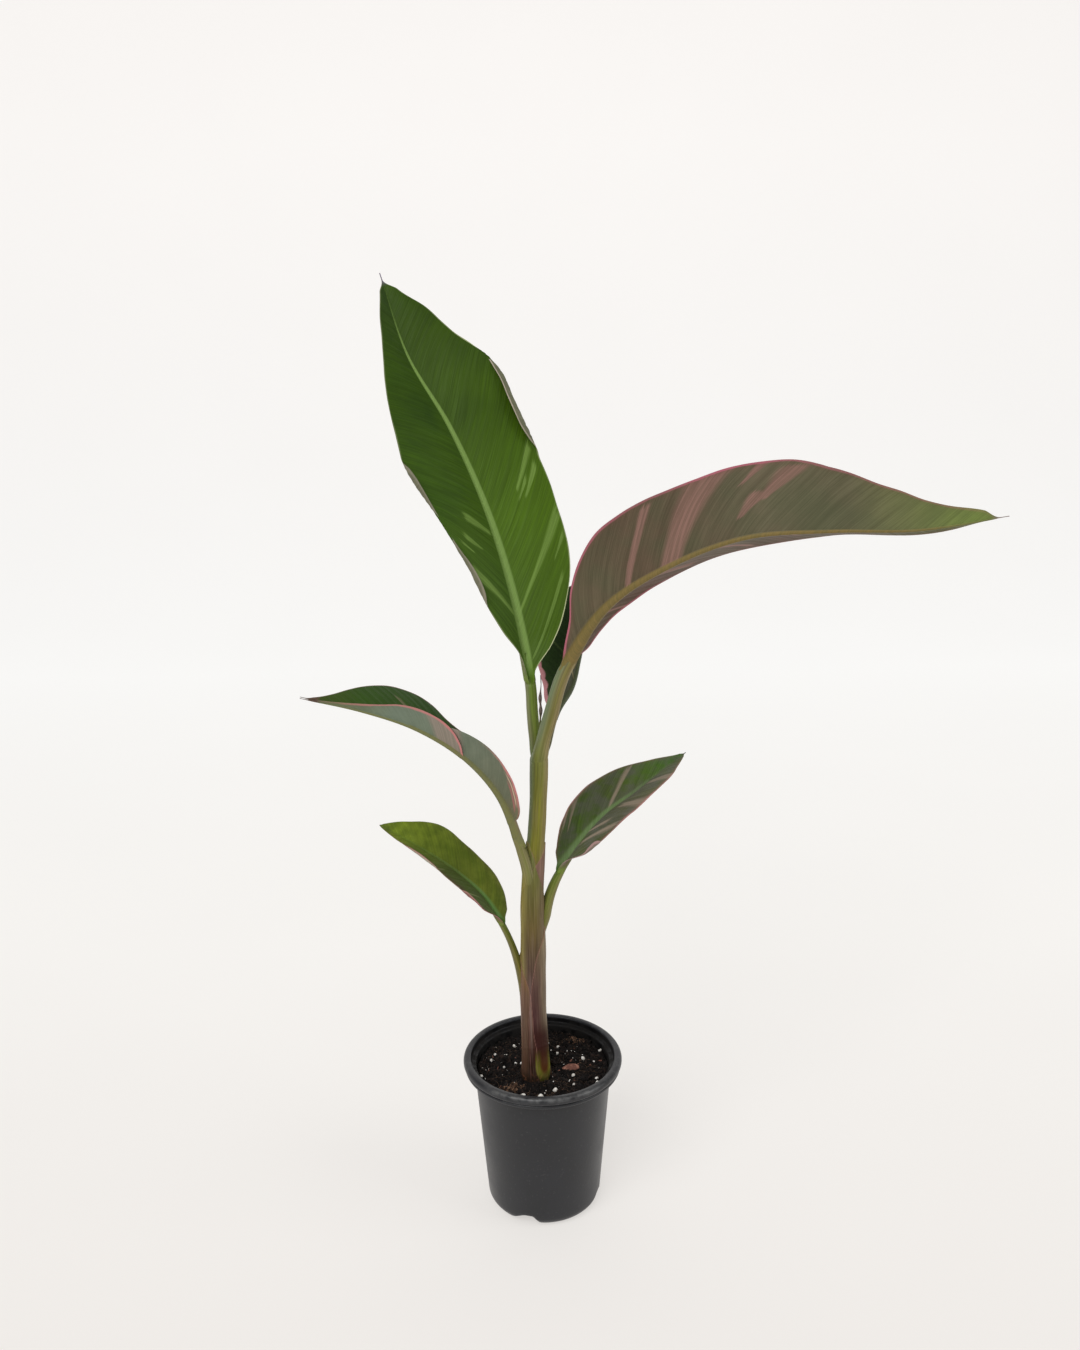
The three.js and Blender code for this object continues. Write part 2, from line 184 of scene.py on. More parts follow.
def mixed(tree, share, first, second, how="MIX"):
    node = tree.nodes.new("ShaderNodeMix")
    node.data_type = "RGBA"
    node.blend_type = how
    put(node.inputs[0], share)
    put(node.inputs[6], first)
    put(node.inputs[7], second)
    return node.outputs[2]


def stepped(tree, value, low, high, to_low=0.0, to_high=1.0):
    """A smooth step from to_low to to_high while value goes from low to high."""
    node = tree.nodes.new("ShaderNodeMapRange")
    node.interpolation_type = "SMOOTHSTEP"
    for socket, given in zip(node.inputs, (value, low, high, to_low, to_high)):
        put(socket, given)
    return node.outputs[0]


def ramp(tree, value, stops):
    """A colour ramp: stops are (value, paint code)."""
    low, high = stops[0][0], stops[-1][0]
    spread = tree.nodes.new("ShaderNodeMapRange")
    for socket, given in zip(spread.inputs, (value, low, high)):
        put(socket, given)
    node = tree.nodes.new("ShaderNodeValToRGB")
    put(node.inputs[0], spread.outputs[0])
    elements = node.color_ramp.elements
    while len(elements) < len(stops):
        elements.new(0.5)
    for element, (at, code) in zip(elements, stops):
        element.position = (at - low) / (high - low)
        element.color = paint(code)
    return node.outputs[0]


def cloudy(tree, vector, scale, detail=2.0, roughness=0.5):
    """Noise from 0 to 1, mostly near 0.5."""
    node = tree.nodes.new("ShaderNodeTexNoise")
    feed(node, Vector=vector, Scale=scale, Detail=detail, Roughness=roughness)
    return node.outputs[0]


def field(tree, name):
    """A value that is stored on the points."""
    node = tree.nodes.new("ShaderNodeAttribute")
    node.attribute_name = name
    return node.outputs["Fac"]


def bundle(tree, x, y, z):
    node = tree.nodes.new("ShaderNodeCombineXYZ")
    for socket, value in zip(node.inputs, (x, y, z)):
        put(socket, value)
    return node.outputs[0]


def place(tree):
    """Where the point is on the object, in metres."""
    return tree.nodes.new("ShaderNodeTexCoord").outputs["Object"]


def coordinates(tree):
    """The same place as three values, X, Y and Z."""
    node = tree.nodes.new("ShaderNodeSeparateXYZ")
    put(node.inputs[0], place(tree))
    return node.outputs


def relief(tree, height, distance, strength=1.0):
    """A Bump node's normal: height from 0 to 1 stands for distance, in metres."""
    node = tree.nodes.new("ShaderNodeBump")
    feed(node, Strength=strength, Distance=distance, Height=height)
    return node.outputs[0]


def new_finish(name):
    """A material with its node tree and its Principled shader."""
    material = bpy.data.materials.new(name)
    material.use_nodes = True
    tree = material.node_tree
    return material, tree, tree.nodes["Principled BSDF"]


# %% Helpers for node groups
def new_group(name, inputs, outputs):
    """An empty node group with number inputs {name: start value} and the outputs' names."""
    tree = bpy.data.node_groups.new(name, "ShaderNodeTree")
    number = dict(socket_type="NodeSocketFloat")
    for label, start in inputs.items():
        tree.interface.new_socket(label, in_out="INPUT", **number).default_value = start
    for label in outputs:
        tree.interface.new_socket(label, in_out="OUTPUT", **number)
    given, made = (tree.nodes.new("NodeGroup" + end) for end in ("Input", "Output"))
    return tree, given.outputs, made.inputs


def use_group(tree, group, **values):
    """Places a group and feeds its inputs by name."""
    node = tree.nodes.new("ShaderNodeGroup")
    node.node_tree = group
    feed(node, **values)
    return node.outputs


# %% [markdown]
# ## Effects that several finishes share
#
# Six leaves with two faces each make twelve finishes, and all of them have veins, streaks and a
# coloured margin. Copying those nodes twelve times would make one mistake twelve mistakes, so
# each effect is a node group with named inputs.
#
# The first one is the veins. A banana leaf's side veins leave the midrib, and sweep towards the
# tip as they run outward. Every point of a blade carries the number `vein`: the place on the
# midrib, in millimetres, that its vein comes from. Noise that is stretched along a vein then
# gives stripes that sweep with it.

# %% Group: sweeping veins
VEINS, given, made = new_group(
    "Sweeping veins",
    {"Vein": 0.0, "Across": 0.0, "Spacing": 6.0, "Seed": 0.0},
    ["Tone", "Lines", "Height"],
)
broad = bundle(VEINS, maths(VEINS, "DIVIDE", given["Vein"], given["Spacing"]),
               times(VEINS, given["Across"], 0.02), given["Seed"])
narrow = bundle(VEINS, times(VEINS, given["Vein"], 1.3), times(VEINS, given["Across"], 0.035),
                given["Seed"])
tone = stepped(VEINS, cloudy(VEINS, broad, 1.0, 3.0, 0.6), 0.3, 0.7)
lines = cloudy(VEINS, narrow, 1.0, 2.0, 0.6)
put(made["Tone"], tone)
put(made["Lines"], stepped(VEINS, lines, 0.35, 0.65))
put(made["Height"], maths(VEINS, "ADD", times(VEINS, lines, 0.7), times(VEINS, tone, 0.3)))
print("group:", VEINS.name)

# %% Group: a pale streak between two veins
# A streak is a patch that lies between two veins and widens as it runs outward. Its edges follow
# the veins, and its ends are ragged, because single veins stop sooner or later.
END_RAGGEDNESS = 7.0
STREAK, given, made = new_group(
    "Streak",
    {"Vein": 0.0, "Across": 0.0, "Middle": 0.0, "Foot": 0.5, "Head": 1.0, "From": 0.0, "To": 10.0,
     "Ragged": 1.0, "Soft": 0.3},
    ["Mask"],
)
along_it = bundle(STREAK, times(STREAK, given["Vein"], 0.25), times(STREAK, given["Across"], 0.16),
                  given["Middle"])
wander = maths(STREAK, "SUBTRACT", cloudy(STREAK, along_it, 1.0, 3.0), 0.5)
wander = times(STREAK, wander, given["Ragged"])
by_vein = bundle(STREAK, times(STREAK, given["Vein"], 0.9), 0.0, given["Middle"])
jag = maths(STREAK, "SUBTRACT", cloudy(STREAK, by_vein, 1.0, 2.0), 0.5)
jag = times(STREAK, jag, given["Ragged"], END_RAGGEDNESS)
from_middle = maths(STREAK, "SUBTRACT", given["Vein"], given["Middle"])
from_middle = maths(STREAK, "ABSOLUTE", maths(STREAK, "ADD", from_middle, wander))
half_width = stepped(STREAK, given["Across"], given["From"], given["To"],
                     given["Foot"], given["Head"])
blur = times(STREAK, half_width, given["Soft"])
full_within = maths(STREAK, "SUBTRACT", half_width, blur)
gone_beyond = maths(STREAK, "ADD", maths(STREAK, "ADD", half_width, blur), 0.25)
inside = stepped(STREAK, from_middle, full_within, gone_beyond, 1.0, 0.0)
out = maths(STREAK, "ADD", given["Across"], jag)
begun = stepped(STREAK, out, maths(STREAK, "SUBTRACT", given["From"], 1.0),
                maths(STREAK, "ADD", given["From"], 1.0))
ended = stepped(STREAK, out, maths(STREAK, "SUBTRACT", given["To"], 1.5),
                maths(STREAK, "ADD", given["To"], 1.5), 1.0, 0.0)
put(made["Mask"], times(STREAK, inside, begun, ended))
print("group:", STREAK.name)

# %% Group: the coloured line along a margin
MARGIN, given, made = new_group(
    "Margin line", {"Edge": 0.0, "Along": 0.0, "Width": 1.0, "Seed": 0.0}, ["Mask"]
)
along_it = bundle(MARGIN, times(MARGIN, given["Along"], 14.0), given["Seed"], 0.0)
waver = stepped(MARGIN, cloudy(MARGIN, along_it, 1.0, 2.0), 0.3, 0.7, 0.75, 1.25)
reach = times(MARGIN, given["Width"], waver)
put(made["Mask"], stepped(MARGIN, given["Edge"], times(MARGIN, reach, 0.6), reach, 1.0, 0.0))
print("group:", MARGIN.name)

# %% Group: lengthwise fibres
# Stem and stalks are full of fibres that run from foot to tip. `Around` and `Up` are distances in
# millimetres, and the noise is squeezed around and stretched up.
FIBRES, given, made = new_group(
    "Fibres", {"Around": 0.0, "Up": 0.0, "Spacing": 1.5, "Seed": 0.0}, ["Tone", "Height"]
)
strands = bundle(FIBRES, maths(FIBRES, "DIVIDE", given["Around"], given["Spacing"]),
                 times(FIBRES, given["Up"], 0.03), given["Seed"])
strand = cloudy(FIBRES, strands, 1.0, 3.0, 0.6)
put(made["Tone"], stepped(FIBRES, strand, 0.32, 0.68))
put(made["Height"], strand)
print("group:", FIBRES.name)

# %% Group: blotches and dust
# Two masks of irregular spots: soft blotches, and small sharp specks of dust or scuffing.
SPECKS_FINER = 14.0
BLOTCHES, given, made = new_group(
    "Blotches", {"Scale": 60.0, "Share": 0.5, "Softness": 0.12}, ["Mask", "Specks"]
)
spread = cloudy(BLOTCHES, place(BLOTCHES), given["Scale"], 3.0, 0.55)
level = maths(BLOTCHES, "SUBTRACT", 1.0, given["Share"])
put(made["Mask"], stepped(BLOTCHES, spread, maths(BLOTCHES, "SUBTRACT", level, given["Softness"]),
                          maths(BLOTCHES, "ADD", level, given["Softness"])))
specks_scale = times(BLOTCHES, given["Scale"], SPECKS_FINER)
specks = cloudy(BLOTCHES, place(BLOTCHES), specks_scale, 2.0, 0.5)
put(made["Specks"], stepped(BLOTCHES, specks, 0.64, 0.7))
print("group:", BLOTCHES.name)

# %% [markdown]
# ## The pot
#
# A nursery pot is one moulded shell of dark plastic, thin and slightly tapered, with a rolled rim
# of two beads, a ledge inside the rim, a rounded corner at the foot, and drain notches where the
# base steps up. It could be cut with Booleans, but the mould itself is smooth, so it is easier to
# lathe the wall and then push the base up wherever a notch runs, inside and out alike.

# %% The pot's section
POT_HEIGHT = 118.0
RIM_RADIUS = 59.0
RIM_MOUTH = 54.5
BODY_TOP_RADIUS = 50.8
BODY_FOOT_RADIUS = 42.6
CORNER = 8.5
CORNER_MIDDLE = BODY_FOOT_RADIUS - CORNER
CORNER_TURN = 80
HUB_RADIUS = 0.5
WALL = 1.4
RIM_FOOT = POT_HEIGHT - 9.5
UNDER_RIM = RIM_FOOT - 1.5
POT_SIDES = 240
RIM_OUTSIDE = [[7, 0], [4.4, 0.35], [2.6, 0.6], [1.5, 1.2], [1.15, 2.1], [1.25, 3.1], [1.9, 3.75],
               [1.6, 4.2], [0.55, 4.7], [0.05, 5.7], [0.0, 6.9], [0.35, 8.1], [1.1, 9.1], [2.2, 9.5]]
RIM_INSIDE = [[0.4, 0], [0.95, 0.5], [1.2, 1.6], [1.35, 3.2], [1.6, 4.4], [2.6, 5.0], [3.9, 5.2],
              [4.8, 5.9], [5.1, 7.5]]


def wall_radius(height):
    """The wall's inner radius at a height."""
    share = (height - CORNER) / (UNDER_RIM - CORNER)
    return lerp(BODY_FOOT_RADIUS, BODY_TOP_RADIUS, share) - WALL


def foot_corner(radius, steps):
    """The rounded corner from the underside up to the wall."""
    turns = np.radians(np.linspace(0, CORNER_TURN, steps))
    return np.stack([CORNER_MIDDLE + radius * np.sin(turns), CORNER - radius * np.cos(turns)], 1)


def pot_section():
    """Up the outside, over the rim and down the inside: stretches of (radius, height)."""
    underside = np.linspace(HUB_RADIUS, CORNER_MIDDLE, 16)[:-1]
    up = np.linspace(CORNER + 1.5, UNDER_RIM, 40)
    rim_rows = np.array([RIM_RADIUS, RIM_FOOT]) + np.array(RIM_OUTSIDE) * (-1, 1)
    mouth_rows = np.array([RIM_MOUTH, POT_HEIGHT]) - np.array(RIM_INSIDE)
    down = np.linspace(UNDER_RIM, CORNER + 1.0, 20)
    floor = np.linspace(CORNER_MIDDLE, HUB_RADIUS, 14)[1:]
    return {
        "underside": np.stack([underside, 0 * underside], 1),
        "corner": foot_corner(CORNER, 14),
        "wall": np.stack([wall_radius(up) + WALL, up], 1),
        "rim": smooth_row(rim_rows, np.linspace(0, 1, 60)),
        "mouth": smooth_row(mouth_rows, np.linspace(0, 1, 36)),
        "inner_wall": np.stack([wall_radius(down), down], 1),
        "inner_corner": foot_corner(CORNER - WALL, 10)[::-1],
        "floor": np.stack([floor, 0 * floor + WALL], 1),
    }


# The lining's painted shade starts a few points down the mouth. The floor, its corner and the wall's last
# ring go up with the notches.
LINING_SHADE_BELOW_LIP = 8
stretches = pot_section()
section = np.vstack(list(stretches.values()))
corner_from = len(section) - len(stretches["floor"]) - len(stretches["inner_corner"])
mouth_from = corner_from - len(stretches["inner_wall"]) - len(stretches["mouth"])
inside_from = mouth_from + LINING_SHADE_BELOW_LIP
print("points in the pot's section:", len(section), "of which inside:", len(section) - inside_from)

# %% Push the base up over the drain notches
# Across a notch, the base rises slowly on one side and drops steeply on the other.
NOTCH_COUNT = 4
NOTCH_FIRST = math.radians(-112)
NOTCH_RISE = (-17.0, 3.0)
NOTCH_DROP = (7.0, 14.5)
NOTCH_HEIGHT = 9.0
NOTCH_HUB = (14.0, 20.0)
NOTCH_SOFTNESS = 0.35
NO_NOTCH = 0.01


def notch_roof(x, y):
    """How high the moulded base steps up at a place."""
    roof = np.zeros_like(x)
    for index in range(NOTCH_COUNT):
        turn = NOTCH_FIRST + index * math.tau / NOTCH_COUNT
        out = x * math.cos(turn) + y * math.sin(turn)
        aside = y * math.cos(turn) - x * math.sin(turn)
        slope = ease(*NOTCH_RISE, aside) * (1 - ease(*NOTCH_DROP, aside))
        roof = np.maximum(roof, NOTCH_HEIGHT * slope * ease(*NOTCH_HUB, out))
    return roof


turns = np.linspace(0, math.tau, POT_SIDES, endpoint=False)
radius, height = section[:, :1], section[:, 1:]
pot_x, pot_y = radius * np.cos(turns), radius * np.sin(turns)
roof = notch_roof(pot_x, pot_y)
pushed = roof + (np.arange(len(section)) >= corner_from - 1)[:, None] * WALL
raised = 0.5 * (height + pushed + np.sqrt((height - pushed) ** 2 + NOTCH_SOFTNESS ** 2))
pot_z = np.where(roof < NO_NOTCH, height, raised)
pot_points = np.stack([pot_x, pot_y, pot_z], -1).reshape(-1, 3)
pot_faces = tube_faces(len(section), POT_SIDES)
print("lowest and highest point of the pot:", pot_points[:, 2].min(), pot_points[:, 2].max())

# %% Finish: moulded dark plastic
# The wall has the faint orange-peel of a cheap mould. The rim is scuffed pale where pots are
# stacked and handled, and a little dust lies on the pot. Along the rim's crest at the front, a
# pale line broken into patches is painted highlight.
# A shader's coordinates are in metres.
RIM_FROM = (0.1085, 0.1125)
CREST_RADIUS = 0.0579
CREST_HALF_WIDTH = (0.0003, 0.0016)
CREST_FROM = (0.1145, 0.1158)
CREST_HIGHLIGHT_FRONT = (-0.052, -0.036)
POT_PLASTIC, tree, shader = new_finish("moulded_pot_plastic")
cloud = use_group(tree, BLOTCHES, Scale=35.0, Share=0.5, Softness=0.2)
scuffs = use_group(tree, BLOTCHES, Scale=230.0, Share=0.42, Softness=0.05)
crest_highlight_patches = use_group(tree, BLOTCHES, Scale=150.0, Share=0.5, Softness=0.2)
at = coordinates(tree)
plastic = mixed(tree, cloud["Mask"], "#1c1d20", "#212226")
scuffed = times(tree, scuffs["Mask"], stepped(tree, at["Z"], *RIM_FROM), 0.09)
plastic = mixed(tree, scuffed, plastic, "#6e7173")
out = maths(tree, "SQRT", maths(tree, "ADD", *(maths(tree, "POWER", at[axis], 2.0) for axis in "XY")))
from_crest = maths(tree, "ABSOLUTE", maths(tree, "SUBTRACT", out, CREST_RADIUS))
# A pale line along the front of the rim's crest, broken into patches: painted highlight.
crest_highlight = times(tree, stepped(tree, from_crest, *CREST_HALF_WIDTH, 1.0, 0.0),
              stepped(tree, at["Y"], *CREST_HIGHLIGHT_FRONT, 1.0, 0.0), stepped(tree, at["Z"], *CREST_FROM))
plastic = mixed(tree, times(tree, crest_highlight, crest_highlight_patches["Mask"], 0.34), plastic, "#9a9a98")
plastic = mixed(tree, times(tree, cloud["Specks"], 0.05), plastic, "#8a8a86")
peel = cloudy(tree, place(tree), 900.0, 2.0)
feed(shader, Base_Color=plastic, Roughness=stepped(tree, cloud["Mask"], 0.0, 1.0, 0.34, 0.42),
     Normal=relief(tree, peel, 0.00012, 0.35), Specular_IOR_Level=0.42)

# %% Finish: the pot's inside
# The inside is painted nearly black as the shade that fills the pot, with faint splashes of damp
# mix, and it hardly shines.
POT_LINING_SHADE, tree, shader = new_finish("pot_lining_painted_shade")
splashes = use_group(tree, BLOTCHES, Scale=160.0, Share=0.5, Softness=0.15)
feed(shader, Base_Color=mixed(tree, splashes["Mask"], "#0b0b0c", "#161412"),
     Roughness=stepped(tree, splashes["Mask"], 0.0, 1.0, 0.45, 0.8),
     Normal=relief(tree, cloudy(tree, place(tree), 700.0, 3.0), 0.0003, 0.5),
     Specular_IOR_Level=0.25)
rows_of_faces = np.repeat(np.arange(len(section) - 1), POT_SIDES)
pot_finish = np.concatenate([rows_of_faces >= inside_from, [0, 1]])
add_piece("pot_shell", pot_points, pot_faces, [POT_PLASTIC, POT_LINING_SHADE],
          replaces=["pot"], finish_of_face=pot_finish)

# %% [markdown]
# ## Potting mix
#
# Potting mix is dark peat with crumbs, white grains of perlite, chips of bark and fine root
# fibres. A bump map on a flat disc would look like a carpet. So the ground itself is a rough
# surface with hollows, and crumbs, grains, chips and fibres lie on it as real small shapes. Each
# kind is joined into one mesh, which keeps the scene light.

# %% The rough ground
SOIL_LEVEL = 108.0
SOIL_FLOOR = 10.7
SOIL_GAP = 0.6
SOIL_DIP = 2.2
SOIL_RADIUS = wall_radius(SOIL_LEVEL - SOIL_DIP) - SOIL_GAP
STEM_FOOT = (-5.2, -9.5)
SOIL_RINGS = 110
SOIL_SIDES = 260


def rough(x, y, size, seed, waves=16):
    """Uneven ground made of waves in many directions, about `size` mm from hump to hump."""
    dice = np.random.default_rng(seed)
    total = np.zeros_like(np.asarray(x, float))
    for _ in range(waves):
        turn, phase = dice.uniform(0, math.tau), dice.uniform(0, math.tau)
        pitch = math.tau * dice.uniform(0.6, 1.5) / size
        total += np.sin((x * math.cos(turn) + y * math.sin(turn)) * pitch + phase)
    return total / math.sqrt(waves)


def soil_height(x, y):
    """The ground's height: level by the stem, and dipping and swelling away from it."""
    x, y = np.asarray(x, float), np.asarray(y, float)
    away = ease(13, 24, np.hypot(x - STEM_FOOT[0], y - STEM_FOOT[1]))
    swell = np.sin(x / 7 + 0.6) * np.cos(y / 8.5) + 0.5 * np.sin((x + y) / 4.3)
    lumps = 0.75 * rough(x, y, 13, 3) + 0.5 * rough(x, y, 5.5, 4) + 0.28 * rough(x, y, 2.4, 5)
    return SOIL_LEVEL - 0.4 + 0.66 * away * (swell - 0.7) + lumps * lerp(0.55, 1.0, away)


rings = np.linspace(1, 0, SOIL_RINGS + 1)[:-1, None] * SOIL_RADIUS
turns = np.linspace(0, math.tau, SOIL_SIDES, endpoint=False)
soil_x, soil_y = rings * np.cos(turns), rings * np.sin(turns)
soil_top = np.stack([soil_x, soil_y, soil_height(soil_x, soil_y)], -1)
foot_radius = wall_radius(SOIL_FLOOR) - SOIL_GAP
soil_foot = np.stack([foot_radius * np.cos(turns), foot_radius * np.sin(turns),
                      np.full(SOIL_SIDES, SOIL_FLOOR)], -1)
centre = [0, 0, float(soil_height(0, 0))]
soil_points = np.vstack([soil_foot, soil_top.reshape(-1, 3), [centre]])
soil_faces = [list(q) for q in grid_quads(SOIL_RINGS + 1, SOIL_SIDES, closed=True)]
soil_faces.append(list(range(SOIL_SIDES))[::-1])
inmost = SOIL_RINGS * SOIL_SIDES
for k in range(SOIL_SIDES):
    soil_faces.append([inmost + k, inmost + (k + 1) % SOIL_SIDES, len(soil_points) - 1])
lowest, highest = (round(float(edge(soil_top[..., 2])), 2) for edge in (np.min, np.max))
print("ground between", lowest, "and", highest, "mm")


# %% Finish: damp peat
def earthy(name, dark, light, scale=520.0, roughness=0.9):
    """A finish for crumbs of earth: two colours in blotches, with a gritty surface."""
    material, tree, shader = new_finish(name)
    patches = use_group(tree, BLOTCHES, Scale=scale, Share=0.45, Softness=0.1)
    grit = cloudy(tree, place(tree), scale * 4, 3.0)
    feed(shader, Base_Color=mixed(tree, patches["Mask"], dark, light), Roughness=roughness,
         Normal=relief(tree, grit, 0.0004, 0.8), Specular_IOR_Level=0.2)
    return material


PEAT = earthy("damp_peat", "#0a0807", "#191311")
add_piece("soil_ground", soil_points, soil_faces, [PEAT], replaces=["soil"])


# %% Small shapes for crumbs, grains and chips
def ball(steps):
    """Points and faces of a small ball of radius 1."""
    shape = bmesh.new()
    bmesh.ops.create_icosphere(shape, subdivisions=steps, radius=1)
    points = np.array([v.co for v in shape.verts])
    faces = np.array([[v.index for v in f.verts] for f in shape.faces])
    shape.free()
    return points, faces


COARSE_BALL = ball(1)
FINE_BALL = ball(2)


class Heap:
    """Gathers many small shapes, and joins them into one piece."""

    def __init__(self, seed):
        self.dice = np.random.default_rng(seed)
        self.points, self.faces, self.count = [], [], 0

    def add(self, points, faces):
        self.faces += [[self.count + k for k in f] for f in faces]
        self.points.append(points)
        self.count += len(points)

    def lump(self, centre, size, squash=(1, 1, 1), dent=0.22, shape=COARSE_BALL):
        """An uneven lump of about `size` mm across, turned at random."""
        points, faces = shape
        dented = points * (1 + self.dice.normal(0, dent, (len(points), 1))) * np.array(squash)
        turn = np.array(Quaternion(self.dice.normal(size=4)).normalized().to_matrix())
        self.add(dented @ turn.T * size / 2 + np.asarray(centre), faces)

    def somewhere(self, within=SOIL_RADIUS - 1.5, clear=9.5):
        """A place on the ground that is not inside the stem."""
        while True:
            radius, turn = within * math.sqrt(self.dice.uniform()), self.dice.uniform(0, math.tau)
            x, y = radius * math.cos(turn), radius * math.sin(turn)
            if math.hypot(x - STEM_FOOT[0], y - STEM_FOOT[1]) > clear:
                return x, y

    def on_ground(self, x, y, raise_by=0.0):
        return np.array([x, y, float(soil_height(x, y)) + raise_by])

    def finish(self, name, material, slot="soil"):
        return add_piece(name, np.vstack(self.points), self.faces, [material])


# %% Crumbs of peat
# For each size of crumb: how many, the least and greatest size, how high it sits as a share of its
# size, how flat it is, how dented, its shape, and how far it keeps from the stem's middle.
CRUMBS = [
    (2600, 0.7, 1.9, 0.12, (1, 0.85, 0.7), 0.25, COARSE_BALL, 9.5),
    (330, 2.0, 3.8, 0.05, (1, 0.8, 0.65), 0.16, FINE_BALL, 9.5),
    (70, 3.8, 6.5, -0.1, (1, 0.85, 0.6), 0.1, FINE_BALL, 13.0),
]
crumbs = Heap(11)
for count, least, greatest, sits, squash, dent, shape, clear in CRUMBS:
    for _ in range(count):
        size = crumbs.dice.uniform(least, greatest)
        spot = crumbs.on_ground(*crumbs.somewhere(clear=clear), size * sits)
        crumbs.lump(spot, size, squash, dent, shape)
crumbs.finish("soil_crumbs", earthy("peat_crumbs", "#0e0a09", "#2c211c", 300.0))

# %% [markdown]
# Three places stand out on the ground: a clump of dry brown peat at the front, left of the stem, a
# looser one at the back, and two flat chips of reddish bark on the stem's right. The larger grains
# of perlite have places of their own too. The rest are strewn with seeded dice, so that every run
# gives the same pot.

# %% Dry clumps, bark chips and perlite
CLUMP_MIDDLE = (-22.0, -28.5)
CLUMP_HALF_SIZE = (9.5, 5.5)
BACK_CLUMP_MIDDLE = (27, 36)
BACK_CLUMP_SPREAD = (5, 3.4)
CRUMB_SQUASH = (1, 0.8, 0.7)
clump = Heap(12)
for _ in range(210):
    turn, out = clump.dice.uniform(0, math.tau), clump.dice.uniform() ** 0.6
    x = CLUMP_MIDDLE[0] + CLUMP_HALF_SIZE[0] * out * math.cos(turn)
    y = CLUMP_MIDDLE[1] + CLUMP_HALF_SIZE[1] * out * math.sin(turn)
    size = clump.dice.uniform(0.8, 2.3)
    clump.lump(clump.on_ground(x, y, 1.2 * (1 - out)), size, CRUMB_SQUASH, 0.22)
for _ in range(150):
    x, y = (middle + clump.dice.normal(0, spread)
            for middle, spread in zip(BACK_CLUMP_MIDDLE, BACK_CLUMP_SPREAD))
    if math.hypot(x, y) < SOIL_RADIUS - 2:
        clump.lump(clump.on_ground(x, y, 0.3), clump.dice.uniform(0.8, 2.0), CRUMB_SQUASH, 0.22)
clump.finish("soil_dry_clumps", earthy("dry_peat", "#4a3629", "#7a5f4c", 420.0))

# Each chip: x, y, half sizes in mm, and its tilt in degrees.
BARK_CHIPS = [(21.4, -3.0, (5.4, 2.9, 0.8), 24), (17.4, -4.2, (3.4, 1.9, 0.7), 14)]
bark = Heap(13)
chip_points, chip_faces = FINE_BALL
for x, y, chip_size, tilt in BARK_CHIPS:
    chip = chip_points * chip_size * (1 + bark.dice.normal(0, 0.09, (len(chip_points), 1)))
    lean = np.array(Quaternion((1, 0, 0), math.radians(tilt)).to_matrix())
    bark.add(chip @ lean.T + bark.on_ground(x, y, 1.6), chip_faces)
for _ in range(20):
    size = bark.dice.uniform(1.8, 4.2)
    bark.lump(bark.on_ground(*bark.somewhere(), 0.2), size, (1, 0.5, 0.28), 0.15, FINE_BALL)
bark.finish("soil_bark", earthy("reddish_bark", "#6a463c", "#9a6c5c", 330.0))

# Each large grain: x, y and size in mm.
PERLITE_SPOTS = [
    (-1.9, -40.2, 5.0), (-14.4, -38.5, 4.0), (8.8, -31.5, 3.4), (39.5, -18.2, 3.0), (39.7, -23.9, 2.4),
    (22.5, -12.8, 2.6), (19.9, -19.5, 2.0), (22.6, -24.7, 2.0), (30.4, 8.3, 2.8), (43.8, 18.2, 2.3),
    (10.9, 16.4, 2.2), (11.7, 26.5, 2.3), (6.4, 21.9, 1.8), (4.2, 30.3, 2.0), (26.4, 45.6, 2.4),
    (38.6, 6.1, 1.6), (-45.5, -12.2, 2.4), (-44.8, -16.8, 2.8), (-42.6, 17.0, 2.0), (-36.4, 18.3, 2.0),
    (-38.8, 7.0, 2.4), (-29.0, -1.1, 1.8), (-22.0, 27.0, 2.2), (-20.4, 25.7, 2.0), (-15.9, 3.3, 2.2),
    (-20.2, 2.8, 1.8), (-19.6, -35.7, 1.6),
]
perlite = Heap(14)
for x, y, size in PERLITE_SPOTS:
    perlite.lump(perlite.on_ground(x, y, size * 0.3), size * 1.15, (1, 0.85, 0.8), 0.12, FINE_BALL)
for _ in range(80):
    size = 0.45 + 0.9 * perlite.dice.uniform() ** 2
    perlite.lump(perlite.on_ground(*perlite.somewhere(), size * 0.2), size, (1, 0.9, 0.8), 0.14)
perlite.finish("soil_perlite", earthy("perlite", "#d6d1c8", "#faf8f2", 700.0, 0.8))


# %% Root fibres
def strand(points, radii, sides=5):
    """A thin tube along points, as its own points and faces, closed at both ends."""
    points, radii = np.asarray(points, float), np.asarray(radii, float)
    ahead = unit(np.gradient(points, axis=0))
    across = unit(np.cross(ahead, [0.31, 0.17, 0.93]))
    upright = np.cross(ahead, across)
    turns = np.linspace(0, math.tau, sides, endpoint=False)[:, None, None]
    rings = points + radii[:, None] * (np.cos(turns) * across + np.sin(turns) * upright)
    shell = rings.transpose(1, 0, 2).reshape(-1, 3)
    return shell, tube_faces(len(points), sides)


FIBRE_STEP = 1.1
fibres = Heap(15)
for _ in range(150):
    x, y = fibres.somewhere(SOIL_RADIUS - 5)
    heading, bend = fibres.dice.uniform(0, math.tau), fibres.dice.normal(0, 0.16)
    run = []
    for _ in range(9):
        run.append(fibres.on_ground(x, y, 0.35 + fibres.dice.uniform(0, 0.5)))
        heading += bend + fibres.dice.normal(0, 0.12)
        x, y = x + FIBRE_STEP * math.cos(heading), y + FIBRE_STEP * math.sin(heading)
        if math.hypot(x, y) > SOIL_RADIUS - 1.5:
            break
    if len(run) > 3:
        fibres.add(*strand(run, np.full(len(run), fibres.dice.uniform(0.08, 0.16))))
fibres.finish("soil_fibres", earthy("root_fibres", "#2b1f18", "#6b5644", 500.0))

